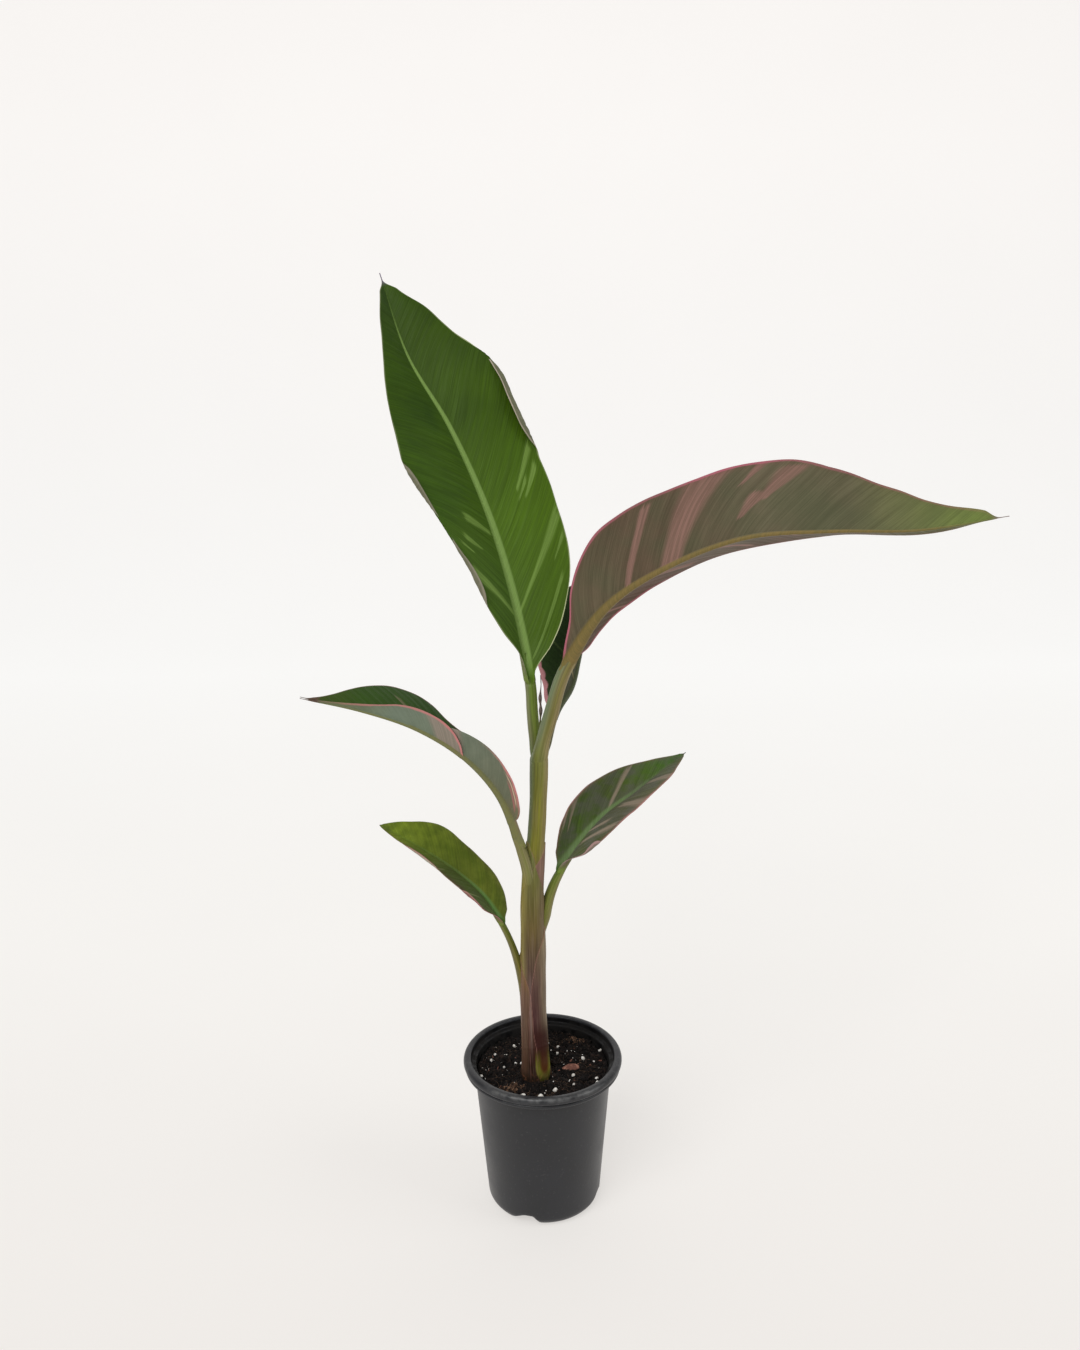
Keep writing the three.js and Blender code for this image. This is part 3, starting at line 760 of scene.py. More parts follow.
# %% [markdown]
# ## The stem
#
# A banana's stem is not wood. It is the foot of every leaf, wrapped round the younger ones like
# paper in a roll. What shows is the overlap: each outer sheath ends in an edge that slants round
# the stem, given here by how many degrees it reaches from its own leaf at every 10 mm below its
# top. The cut-off foot of the very first leaf is left as an oval scar. The tube follows
# the stem's middle line, and each sheath adds its own thickness with a crisp edge. Fine ridges
# run up it. The same heights and directions are stored on the points for the finish.

# %% The stem's rows
STEM_LINE = [[-5.2, -9.5, 106.5], [-6.4, -9.8, 160], [-6.3, -10.4, 210], [-5.3, -11.2, 262],
             [-1.1, -12.0, 312], [0.5, -12.6, 361]]
STEM_HALF_WIDTH = [8.6, 8.0, 7.9, 7.3, 6.0, 6.5]
STEM_HALF_DEPTH = [8.8, 8.0, 7.9, 7.6, 7.4, 8.6]
STEM_FLARE = 1.6
STEM_FLARE_HEIGHT = 9.0
SHEATHS = {
    "sheath_3": dict(toward=0, top=292, reach=[6, 56, 104, 132, 150]),
    "sheath_4": dict(toward=205, top=294, reach=[14, 58, 82, 110, 136, 147, 152, 155]),
    "sheath_6": dict(toward=22, top=245, reach=[8, 22, 42, 73, 94, 106, 114, 121, 127, 129, 130]),
    "sheath_5": dict(toward=158, top=206, reach=[20, 60, 87, 103, 108, 110, 113, 119, 122]),
}
SHEATH_STEP = 10.0
SHEATH_THICKNESS = 0.6
SHEATH_EDGE_LIFT = 0.3
STUB = {"toward": -52.0, "height": 121.0, "half_width": 34.0, "half_height": 15.0, "open_height": 40.0,
        "rise": 1.3, "hollow": 0.55, "fades": (128, 144)}
SCAR_HEIGHT = 133.0
SCAR_SLANT = 2.5
FORK_ROUNDS_FROM = 0.965
STEM_ROWS = 420
STEM_SIDES = 150


def degrees_apart(a, b):
    return np.abs((a - b + 180) % 360 - 180)


def sheath_cover(height, toward, sheath):
    """1 where a sheath covers the stem and 0 where it doesn't, with a crisp edge."""
    rows = SHEATHS[sheath]
    below = rows["top"] - height
    whole = SHEATH_STEP * (len(rows["reach"]) - 1)
    reach = smooth_row(rows["reach"], below / whole) + 0.8 * np.sin(height / 4)
    away = degrees_apart(toward, rows["toward"])
    return (1 - ease(reach - 1.6, reach + 1.6, away)) * (below > 0)


def stub_oval(height, toward):
    """0 in the middle of the cut-off first sheath and 1 on its rim, which is open at the top."""
    aside = degrees_apart(toward, STUB["toward"]) / STUB["half_width"]
    above = height - STUB["height"]
    return np.hypot(aside, above / np.where(above < 0, STUB["half_height"], STUB["open_height"]))


# %% Build the stem
share = np.linspace(0, 1, STEM_ROWS)[:, None]
toward = np.linspace(-180, 180, STEM_SIDES, endpoint=False)[None, :]
middle = smooth_row(STEM_LINE, share[:, 0])
stem_z = middle[:, 2:] + 0 * toward
covers = {name: sheath_cover(stem_z, toward, name) for name in SHEATHS}
flare = STEM_FLARE * np.exp(-(stem_z - STEM_LINE[0][2]) / STEM_FLARE_HEIGHT)
oval = stub_oval(stem_z, toward)
stub_rise = STUB["rise"] * (1 - ease(0.8, 1.1, oval)) - STUB["hollow"] * (1 - ease(0.35, 0.72, oval))
stub_rise = stub_rise * (1 - ease(*STUB["fades"], stem_z))
turn = np.radians(toward)
ridges = 0.05 * np.sin(turn * 37 + 0.8 * np.sin(stem_z / 37))
ridges = ridges + 0.035 * np.sin(turn * 61 + stem_z / 50)
scar = 0.16 * np.exp(-((stem_z - SCAR_HEIGHT - SCAR_SLANT * np.cos(turn + 1.0)) / 0.8) ** 2)
wobble = 0.12 * np.sin(stem_z / 11 + 2 * np.cos(turn)) + 0.1 * np.sin(stem_z / 5.3 + 3 * np.sin(turn))
rise = SHEATH_THICKNESS * sum(covers.values()) + flare + stub_rise + ridges + scar + wobble
# A sheath's very edge curls out a little before it ends.
edge_lift = sum(c * (1 - c) * 4 for c in covers.values())
rise = rise + SHEATH_EDGE_LIFT * edge_lift
# At the fork the tube rounds off, and its end hides between the youngest stalks.
rounding = np.clip((share - FORK_ROUNDS_FROM) / (1 - FORK_ROUNDS_FROM), 0, 1)
shoulder = np.sqrt(np.clip(1 - rounding ** 2, 0.05, 1))
half_width = smooth_row(STEM_HALF_WIDTH, share) * shoulder
half_depth = smooth_row(STEM_HALF_DEPTH, share) * shoulder
stem_x = middle[:, :1] + np.cos(turn) * (half_width + rise)
stem_y = middle[:, 1:2] + np.sin(turn) * (half_depth + rise)
stem_points = np.stack([stem_x, stem_y, stem_z], -1).reshape(-1, 3)
stem_faces = tube_faces(STEM_ROWS, STEM_SIDES)
stem_fields = {name: cover.ravel() for name, cover in covers.items()}
stem_fields["sheath_edge"] = edge_lift.ravel()
stem_fields["up"] = stem_z.ravel()
stem_fields["around"] = (turn * half_width + 0 * stem_z).ravel()
stem_fields["rightward"] = (np.cos(turn) + 0 * stem_z).ravel()
stem_fields["oval"] = oval.ravel()
print("stem rows and columns:", STEM_ROWS, STEM_SIDES)


def stem_at(height):
    """The stem's middle (x, y) and half sizes at a height, with its sheaths on."""
    rows = np.linspace(0, 1, 200)
    line = smooth_row(STEM_LINE, rows)
    half_sizes = [smooth_row(sizes, rows) for sizes in (STEM_HALF_WIDTH, STEM_HALF_DEPTH)]
    values = [line[:, 0], line[:, 1], *half_sizes]
    x, y, half_x, half_y = (np.interp(height, line[:, 2], v) for v in values)
    return x, y, half_x + SHEATH_THICKNESS, half_y + SHEATH_THICKNESS


# %% [markdown]
# ### The stem's finish
#
# Every sheath has colours of its own: olive where it is young, brown and purple towards the foot,
# and nearly maroon at the soil. A Color Ramp along the height gives each sheath's colours, and
# the stored covers mix them in the order in which the sheaths lie. The ramp's stops are heights
# on the plant, so they are easy to move. A stalk is the same leaf as its sheath, so the same
# function will colour the stalks' feet further on.

# %% The sheaths' colours
# For each: paint codes by height, then at the left edge of the stem, then at the right edge; the
# edge colours are painted light and shade on the stem's sides.
SHEATH_SKINS_AND_SIDE_LIGHT = {
    "inner": ([(250, "#5c4a38"), (268, "#6e6036"), (290, "#7e7c26"), (320, "#807e28"), (361, "#767c3a")],
              "#788a66", "#ad9c6f"),
    "sheath_3": ([(240, "#6a5640"), (262, "#7c6250"), (280, "#8c6a5a"), (292, "#846c4c")],
                 "#7a6450", "#907262"),
    "sheath_4": ([(150, "#4e2a30"), (185, "#553c34"), (205, "#5c4834"), (230, "#6a5a2c"), (262, "#6c6a30"),
                  (290, "#737a40")], "#a3974e", "#7c6a4e"),
    "sheath_6": ([(112, "#401810"), (138, "#300c0a"), (160, "#4a2828"), (185, "#5c4038"), (210, "#6c5840"),
                  (236, "#786c3c")], "#5e4a38", "#948465"),
    "sheath_5": ([(108, "#2c1810"), (122, "#3a2014"), (150, "#5a4130"), (175, "#70523c"), (190, "#7c5c2c"),
                  (204, "#80702c")], "#7c5e48", "#5a3a30"),
}


def sheath_skin_and_side_light(tree, sheath, up, rightward):
    """The colour of a sheath at a height, and at a place from its left (-1) to its right (1), with painted
    light and shade towards those edges.
    """
    stops, left, right = SHEATH_SKINS_AND_SIDE_LIGHT[sheath]
    skin = ramp(tree, up, stops)
    # Towards the left and right edges the colour turns to painted light and shade, as light falls on the
    # round stem.
    skin = mixed(tree, stepped(tree, rightward, -0.95, -0.3, 0.75, 0.0), skin, left)
    return mixed(tree, stepped(tree, rightward, 0.25, 0.95, 0.0, 0.7), skin, right)


def fibrous(tree, skin, around, up, seed):
    """Adds dark and pale fibres to a skin, and gives the skin and the fine fibres."""
    fine, broad, pale = (
        use_group(tree, FIBRES, Around=around, Up=up, Spacing=spacing, Seed=seed + more)
        for spacing, more in ((0.9, 0), (3.2, 3), (0.6, 6)))
    darkened = times(tree, broad["Tone"], stepped(tree, up, 170.0, 235.0, 0.32, 0.06))
    skin = mixed(tree, darkened, skin, "#4c2c28")
    paled = times(tree, maths(tree, "POWER", pale["Tone"], 3.0), 0.22)
    skin = mixed(tree, paled, skin, "#9c8874")
    return mixed(tree, times(tree, fine["Tone"], 0.34), skin, "#3c3426", "MULTIPLY"), fine


def between_heights(tree, up, comes, goes):
    """A band on the stem, which comes in between two heights and goes between two more."""
    return times(tree, stepped(tree, up, *comes), stepped(tree, up, *goes, 1.0, 0.0))


print("skins:", list(SHEATH_SKINS_AND_SIDE_LIGHT))

# %% Finish: wrapped sheaths
# Heights are in millimetres, and `rightward` runs from -1 on the stem's left to 1 on its right.
LILAC_HIGHLIGHT_AT = -0.16
LILAC_HIGHLIGHT_HEIGHTS = (118.0, 150.0), (178.0, 200.0)
ABOVE_STUB_HEIGHTS = (116.0, 130.0), (142.0, 160.0)
STEM_FINISH, tree, shader = new_finish("wrapped_sheaths")

up, around, rightward, oval_ring = (field(tree, f) for f in ("up", "around", "rightward", "oval"))
skin = sheath_skin_and_side_light(tree, "inner", up, rightward)
for sheath in SHEATHS:
    skin = mixed(tree, field(tree, sheath), skin, sheath_skin_and_side_light(tree, sheath, up, rightward))
# A painted lilac highlight up the lower stem, just left of its middle.
from_line = maths(tree, "ABSOLUTE", maths(tree, "SUBTRACT", rightward, LILAC_HIGHLIGHT_AT))
lilac_highlight = times(tree, stepped(tree, from_line, 0.02, 0.12, 1.0, 0.0),
              between_heights(tree, up, *LILAC_HIGHLIGHT_HEIGHTS))
skin = mixed(tree, times(tree, lilac_highlight, 0.55), skin, "#9c847c")
skin, fibre = fibrous(tree, skin, around, up, 2.0)
# The cut-off first sheath: nearly black above it, and a brown middle with an olive rim in it.
shade = times(tree, stepped(tree, oval_ring, 0.7, 1.9, 1.0, 0.0),
              between_heights(tree, up, *ABOVE_STUB_HEIGHTS))
skin = mixed(tree, times(tree, shade, 0.92), skin, "#34100a")
in_stub = times(tree, stepped(tree, oval_ring, 0.95, 1.12, 1.0, 0.0),
                stepped(tree, up, 115.0, 136.0, 1.0, 0.0))
stub_skin = mixed(tree, stepped(tree, oval_ring, 0.3, 0.75), "#5a3214", "#76752a")
stub_skin = mixed(tree, stepped(tree, oval_ring, 0.84, 0.97), stub_skin, "#8e8c38")
skin = mixed(tree, in_stub, skin, stub_skin)
# The dry pink edges of the sheaths, and the dirty flakes at the soil.
skin = mixed(tree, times(tree, field(tree, "sheath_edge"), 0.75), skin, "#94685e")
flakes = use_group(tree, BLOTCHES, Scale=420.0, Share=0.42, Softness=0.06)
foot_dirt = stepped(tree, up, 108.0, 118.0, 0.85, 0.0)
skin = mixed(tree, foot_dirt, skin, mixed(tree, flakes["Mask"], "#1e1309", "#6c4630"))
feed(shader, Base_Color=skin, Roughness=stepped(tree, fibre["Tone"], 0.0, 1.0, 0.42, 0.55),
     Normal=relief(tree, fibre["Height"], 0.0004, 0.6), Specular_IOR_Level=0.22)
add_piece("stem_sheaths", stem_points, stem_faces, [STEM_FINISH],
          replaces=["pseudostem"], fields=stem_fields)

# %% [markdown]
# ## Six leaves from one description
#
# Each leaf is a stalk that runs on as the midrib of a thin blade. The spine gives its line, from
# inside the stem to the tip; the stalk takes the first `stalk` stretches of it and has the radii
# `radius`. `face` says which way the upper side looks. `left` and `right` are half widths, and the
# lifts are how far each half is raised from flat, as a leaf folds like a shallow V. `rib` is the
# midrib's half width. The looks that only a fine mesh can show are here. Places along a blade are
# shares of its length:
#
# - `arch`: degrees by which each half is bowed, so that it isn't a flat board
# - `waves`: how the margin rises and falls, as (millimetres, waves along the leaf, start)
# - `rolls`: where the margin rolls over and shows the other face, as (side, start, end, the extra
#   millimetres that roll, degrees)
# - `rim`: how strongly the coloured line shows along each margin
# - `foot`: where each half springs from the midrib in a round ear, if it does
# - `tip`: where the blade narrows to a dry thread
# - `merge`: the height over which the stalk comes out of the stem, 14 mm where nothing is given
# - `lips`: how far the blade runs down beside the stalk's channel, in half widths of the stalk,
#   2.4 where nothing is given
# - `slope`: how steeply the side veins run towards the tip, from the leaf's foot to its tip
# - `streaks`: the pale streaks, as (place on the midrib, half width at the inner and the outer
#   end, from, to, side) in millimetres; a streak goes right through the blade, so both faces
#   share it

# %% The leaves' rows
LEAVES = {
    "leaf_1": dict(
        stalk=2, radius=[4.2, 3.7], merge=26, lips=4.6, replaces=["leaf_1"],
        spine=[[-1.8, -8, 352], [-3.7, -6.5, 385], [-6, -2, 413], [-18, 17, 469], [-35, 36, 522],
               [-59, 53, 575], [-88, 69, 624], [-106, 82, 679]],
        face=[[0.25, -1, 0.35], [0.2, -1, 0.35]],
        left=[4.6, 7, 17.5, 24.4, 28.4, 32.8, 39.3, 44, 47.4, 49.6, 51.2, 51, 47.8, 43.5, 37, 28.6,
              20, 14, 10.2, 5.2, 0.4],
        right=[7, 17, 28.5, 37, 43.6, 46.8, 47.6, 47.6, 48.6, 48.9, 48.2, 48, 49, 51.6, 50, 43.7,
               37.4, 31.3, 23.5, 9.5, 0.4],
        lift_left=[35, 32, 28, 26], lift_right=[8, 4, 4, 8],
        rib=[3.8, 3.5, 3.0, 2.4, 1.7, 0.9, 0.3],
        arch=10, waves={"left": (1.4, 3.2, 0.6), "right": (1.6, 2.6, 2.0)},
        rolls=[("right", 0.42, 0.77, 5.2, 165), ("left", 0.1, 0.6, 2.6, 155)],
        rim={"left": [0.5, 0.3, 0.2, 0.2, 0.2], "right": [1, 1, 0.3, 0.25, 0.9, 0.9, 0.3, 0.2]},
        slope={"left": [1.5, 1.15, 0.75, 0.7, 0.8, 1.0, 1.3], "right": [1.5, 1.3, 1.2, 1.15, 1.1, 1.2, 1.4]},
        streaks=[(38.5, 1.2, 5.2, 3, 47, 1), (21.0, 0.6, 2.4, 35, 46, 1), (92.0, 1.6, 3.2, 25, 46, 1),
                 (80.0, 1.2, 3.0, 29, 44, 1), (86.0, 0.8, 1.6, 24, 34, 1), (3.0, 1.0, 2.2, 5, 38, 1),
                 (95.0, 1.8, 3.6, 5, 24, -1), (70.0, 1.0, 3.2, 18, 30, -1), (37.0, 2.0, 5.0, 4, 30, -1),
                 (58.0, 0.6, 1.4, 26, 34, -1)],
    ),
    "leaf_2": dict(
        stalk=2, radius=[5.9, 5.1, 4.6], merge=34, replaces=["leaf_2_lower", "leaf_2_upper"],
        spine=[[-0.5, -17, 350], [8.5, -17.5, 386], [20, -18, 421], [46, -29, 463], [86, -42, 492],
               [131, -56, 511], [180, -69, 516], [229, -83, 518], [278, -94, 527]],
        face=[[-0.35, 1, 0.2], [-0.35, 1, 0.6], [-0.1, 0.9, 0.9], [0, 0.9, 1], [0.05, 0.9, 1]],
        left=[4, 12, 14, 14.8, 17.5, 20, 26, 32, 35.5, 36.5, 36, 33.5, 31.5, 31.5, 30.5, 26, 17.5, 11,
              8, 5, 0.4],
        right=[4, 8.2, 14, 25.8, 36.8, 45, 47.2, 47.6, 47.3, 48.3, 50.3, 50.5, 49.4, 44.9, 39.1, 32.8,
               27.8, 20, 12.6, 7, 0.4],
        lift_left=[20, 24, 26, 26], lift_right=[20, 24, 26, 26],
        rib=[4.6, 3.2, 2.2, 1.8, 1.5, 1.1, 0.8, 0.3],
        arch=9, waves={"left": (1.6, 3.0, 1.0), "right": (1.2, 3.4, 0.0)},
        rolls=[],
        rim={"left": [0.9, 0.9, 0.3, 0.3, 0.3, 0.2, 0], "right": [1, 1, 0.7, 0.5, 1, 0.5, 0.4, 0.3, 0]},
        slope={"left": [1.2, 1.0, 0.95, 0.95, 1.1, 1.5], "right": [1.0, 0.9, 0.9, 1.0, 1.2, 1.7]},
        streaks=[(69.0, 2.2, 3.2, 2, 44, 1), (101.0, 7.0, 10.0, 1, 54, 1), (139.0, 1.6, 5.0, 14, 30, 1),
                 (143.0, 2.5, 7.0, 24, 46, 1), (124.0, 0.8, 2.4, 36, 52, 1), (40.0, 1.2, 1.8, 6, 18, -1),
                 (84.0, 2.4, 3.4, 3, 26, -1), (120.0, 1.8, 2.4, 8, 32, -1), (165.0, 1.2, 1.8, 4, 20, -1)],
    ),
    "leaf_3": dict(
        stalk=1, radius=[3.2, 2.4], replaces=["leaf_3"],
        spine=[[3, -7, 350], [12, -4, 383], [24, 12, 398], [30, 31, 414], [35, 51, 431],
               [39, 70, 448], [43, 90, 464]],
        face=[[-1, -0.1, 0.1], [-1, -0.1, 0.2]],
        left=[3, 11.5, 16.5, 19.8, 22.5, 25, 27, 29.6, 32, 33.8, 35, 35.7, 36, 36.2, 36, 35.2, 33, 28,
              21, 10, 0.4],
        right=[3, 7.8, 12, 14.9, 17, 18.2, 19, 19.6, 20, 20.6, 21, 20.7, 20, 19.2, 18, 16.3, 14, 10.6,
               7, 3.5, 0.4],
        lift_left=[60, 65, 60], lift_right=[30, 35, 35],
        rib=[2.4, 1.9, 1.4, 0.9, 0.3],
        arch=6, waves={"left": (0.8, 2.2, 0.4), "right": (0.8, 2.4, 1.4)},
        rolls=[],
        rim={"left": [1, 1, 0.9, 0.7, 0], "right": [0.7, 0.6, 0.6, 0.5, 0]},
        slope={"left": [1.2, 1.0, 1.0, 1.3], "right": [1.2, 1.0, 1.0, 1.3]},
        streaks=[(14.0, 1.0, 1.6, 2, 14, -1), (44.0, 0.6, 1.4, 6, 26, -1), (30.0, 0.8, 1.6, 3, 17, 1),
                 (70.0, 0.6, 1.4, 5, 16, 1)],
    ),
    "leaf_4": dict(
        stalk=2, radius=[6.3, 5.2, 3.9], replaces=["leaf_4_lower", "leaf_4_upper"],
        spine=[[-5.5, -13.5, 248], [-8.6, -16.5, 273], [-14, -20, 296], [-27, -29, 333], [-49, -39, 364],
               [-79, -49, 388], [-113, -59, 404], [-150, -66, 415]],
        face=[[0.9, 0.2, 0.6], [0.35, 0.25, 1], [0, 0.3, 1]],
        left=[5, 6, 7.6, 10.6, 14, 17, 19, 20.6, 21, 19.6, 16.5, 11, 3, 0.8, 0.6, 0.6, 0.6, 0.6,
              0.6, 0.5, 0.4],
        right=[4, 5, 8, 14, 20, 23, 24, 23, 20.5, 19, 21.5, 28, 32, 33, 32, 28.1, 22.5, 15.2, 7.5, 2.5,
               0.4],
        lift_left=[45, 45, 40], lift_right=[40, 40, 40],
        rib=[3.6, 2.6, 2.0, 1.5, 1.0, 0.3],
        arch=8, waves={"left": (0.5, 2.0, 0.0), "right": (1.0, 2.4, 1.0)},
        rolls=[], foot={"left": (0.098, 0.142), "right": (0.09, 0.14)}, merge=40,
        rim={"left": [0, 0.2, 0.9, 0.8, 0.1, 0, 0, 0, 0, 0, 0], "right": [0.3, 0.3, 0.6, 0.6, 0]},
        slope={"left": [1.3, 1.1, 1.0, 1.2, 1.6], "right": [1.3, 1.1, 1.0, 1.2, 1.6]},
        streaks=[(92.0, 10.0, 12.0, 0, 24, -1),
                 (60.0, 1.0, 2.4, 6, 20, 1), (112.0, 0.8, 1.8, 5, 22, 1)],
    ),
    "leaf_5": dict(
        stalk=3, radius=[3.6, 3.4, 2.7, 2.4], replaces=["leaf_5"],
        spine=[[-10.5, -10, 150], [-13.8, -10.5, 184], [-20, -11, 211], [-29, -10, 232], [-42, 5, 245],
               [-59, 17, 256], [-78, 27, 266], [-98, 34, 276], [-119, 40, 286]],
        face=[[0.6, -0.3, 0.8], [0.35, -0.3, 1], [0.2, -0.3, 1]],
        left=[9, 13.5, 16, 16.9, 17, 16.5, 15.9, 15.8, 15.6, 15, 13.6, 11.8, 10.6, 9.4, 8.7, 8.3, 7.8,
              6.6, 4.7, 2.5, 0.4],
        right=[6, 9, 12, 15, 17.4, 19.3, 20.2, 20.4, 20.7, 21.4, 22.2, 23.5, 25.2, 26.1, 25.6, 23.2,
               19.6, 14.8, 10.6, 6, 0.4],
        lift_left=[15, 10, 5], lift_right=[20, 20, 15],
        rib=[2.4, 1.9, 1.4, 1.0, 0.6, 0.3],
        arch=9, waves={"left": (0.5, 2.6, 0.5), "right": (0.9, 2.2, 1.7)},
        rolls=[("left", 0.0, 0.34, 1.5, 150), ("left", 0.42, 0.86, 1.3, 150)], tip=(0.985, 1.0), merge=22,
        rim={"left": [1, 1, 0.8, 0.6, 0.6, 0.9, 0.8, 0.4, 0], "right": [0.2, 0.2, 0.2, 0.1, 0]},
        slope={"left": [1.2, 1.0, 1.1, 1.5], "right": [1.2, 1.0, 1.1, 1.5]},
        streaks=[(48.0, 0.6, 1.2, 9, 15, -1), (12.0, 0.5, 1.0, 8, 15, -1)],
    ),
    "leaf_6": dict(
        stalk=2, radius=[4.4, 4.1, 3.1], replaces=["leaf_6"],
        spine=[[-0.5, -8, 212], [5.7, -9, 248], [16, -6, 271], [31, 6, 288], [48, 17, 302], [68, 27, 313],
               [88, 35, 326], [108, 42, 339]],
        face=[[-0.7, -0.3, 0.8], [-0.4, -0.35, 1], [-0.3, -0.35, 1]],
        left=[6, 10.5, 14.6, 19, 23.5, 26.2, 28.6, 29.4, 29.6, 29.9, 29.6, 29.5, 29.2, 27.6, 24.4, 20,
              15.3, 11.2, 7, 3.4, 0.4],
        right=[11, 20, 26.5, 28, 27.8, 28.4, 29.8, 30.2, 29.4, 27.2, 24.6, 21.8, 20.3, 19.9, 20.1, 19.3,
               17.4, 13.6, 8.2, 4.4, 0.4],
        lift_left=[15, 12, 8], lift_right=[15, 15, 15],
        rib=[3.0, 2.2, 1.7, 1.3, 0.8, 0.3],
        arch=9, waves={"left": (0.8, 2.6, 0.2), "right": (0.9, 2.8, 1.1)},
        rolls=[("right", 0.0, 0.26, 2.6, 150)], tip=(0.97, 0.99), merge=24,
        rim={"left": [0.1, 0.5, 0.9, 0.5, 0.3, 0.3, 0.2, 0], "right": [0.5, 0.7, 0.5, 0.8, 0.9, 0.7, 0.4, 0]},
        slope={"left": [1.5, 1.6, 1.8, 2.2], "right": [1.1, 1.0, 1.1, 1.4]},
        streaks=[(52.0, 1.6, 3.4, 2, 22, -1), (3.0, 1.0, 2.2, 15, 28, -1), (-5.0, 0.8, 1.8, 18, 29, -1),
                 (13.0, 2.0, 4.5, 6, 28, 1), (28.0, 1.4, 3.0, 2, 16, 1), (54.0, 3.6, 7.5, 7, 24, 1),
                 (86.0, 2.0, 4.5, 3, 20, 1)],
    ),
}
print("leaves:", list(LEAVES))

# %% Where a leaf's spine is, and which way it faces
NUDGE = 1e-4


def spine_frame(leaf, t):
    """The spine at t of the blade, or below 0 on the stalk: its middle, and the directions along
    it, to its right and out of its upper face."""
    spans = len(leaf["spine"]) - 1
    whole = (leaf["stalk"] + np.asarray(t, float) * (spans - leaf["stalk"])) / spans
    ahead = smooth_row(leaf["spine"], np.minimum(whole + NUDGE, 1))
    behind = smooth_row(leaf["spine"], np.maximum(whole - NUDGE, 0))
    along = unit(ahead - behind)
    right = unit(np.cross(along, smooth_row(leaf["face"], t)))
    return smooth_row(leaf["spine"], whole), along, right, np.cross(right, along)


def blade_length(leaf):
    middle = spine_frame(leaf, np.linspace(0, 1, 200))[0]
    return float(np.linalg.norm(np.diff(middle, axis=0), axis=1).sum())


for name, leaf in LEAVES.items():
    print(name, "blade length", round(blade_length(leaf), 1), "mm")

# %% [markdown]
# ## The blade's section
#
# Across a blade, each half could be a straight line, but then a rolled margin would be impossible.
# Instead the section is walked outward from the midrib in small steps, and at each step it has a
# direction: the lift, bowed by the arch, and turned right over where the margin rolls. Adding up
# the steps gives the curve, and its length stays true however much it bends. Below the blade's
# foot both halves narrow and fold up, and become the lips of the stalk's channel.

# %% Walk outward across one half of a blade
# The first columns are places over the midrib, in its half widths. `FOOT_RUN` is how far a blade
# runs down beside its stalk, in half widths of the stalk.
RIB_COLUMNS = (0.0, 0.3, 0.55, 0.78, 0.95, 1.12, 1.35)
BLADE_COLUMNS = 34
COLUMN_CROWDING = 1.35
TIP_NARROWS = (0.955, 0.985)
TIP_THREAD = 0.35
FOOT_RUN = 2.4
FOOT_LIFT = 62.0
ROLL_RAMP = 0.08
BEND_LENGTH = 3.0


def foot_run(leaf):
    """How far below its foot a blade goes on as the channel's lips, as a share of its length."""
    return leaf.get("lips", FOOT_RUN) * leaf["radius"][-1] / blade_length(leaf)


def half_width_rows(leaf, t, side, run):
    """One half's width: a narrow lip on the stalk, then the leaf's own widths, then a thread."""
    tip = leaf.get("tip", TIP_NARROWS)
    width = smooth_row(leaf[side], t) * (1 - ease(*tip, t)) + TIP_THREAD
    if "foot" in leaf:
        begin, end = leaf["foot"][side]
        springs_out = np.sqrt(1 - (1 - np.clip((t - begin) / (end - begin), 0, 1)) ** 2)
    else:
        springs_out = ease(-run, run, t)
    lip = leaf["radius"][-1] * lerp(0.5, 0.95, ease(-run, -0.4 * run, t))
    return lerp(lip, width, springs_out)


def along_roll(start, end, low, high, t):
    """1 along a rolled stretch of margin, and easing to 0 between high and low from its ends."""
    return ease(low, high, t - start) * ease(low, high, end - t)


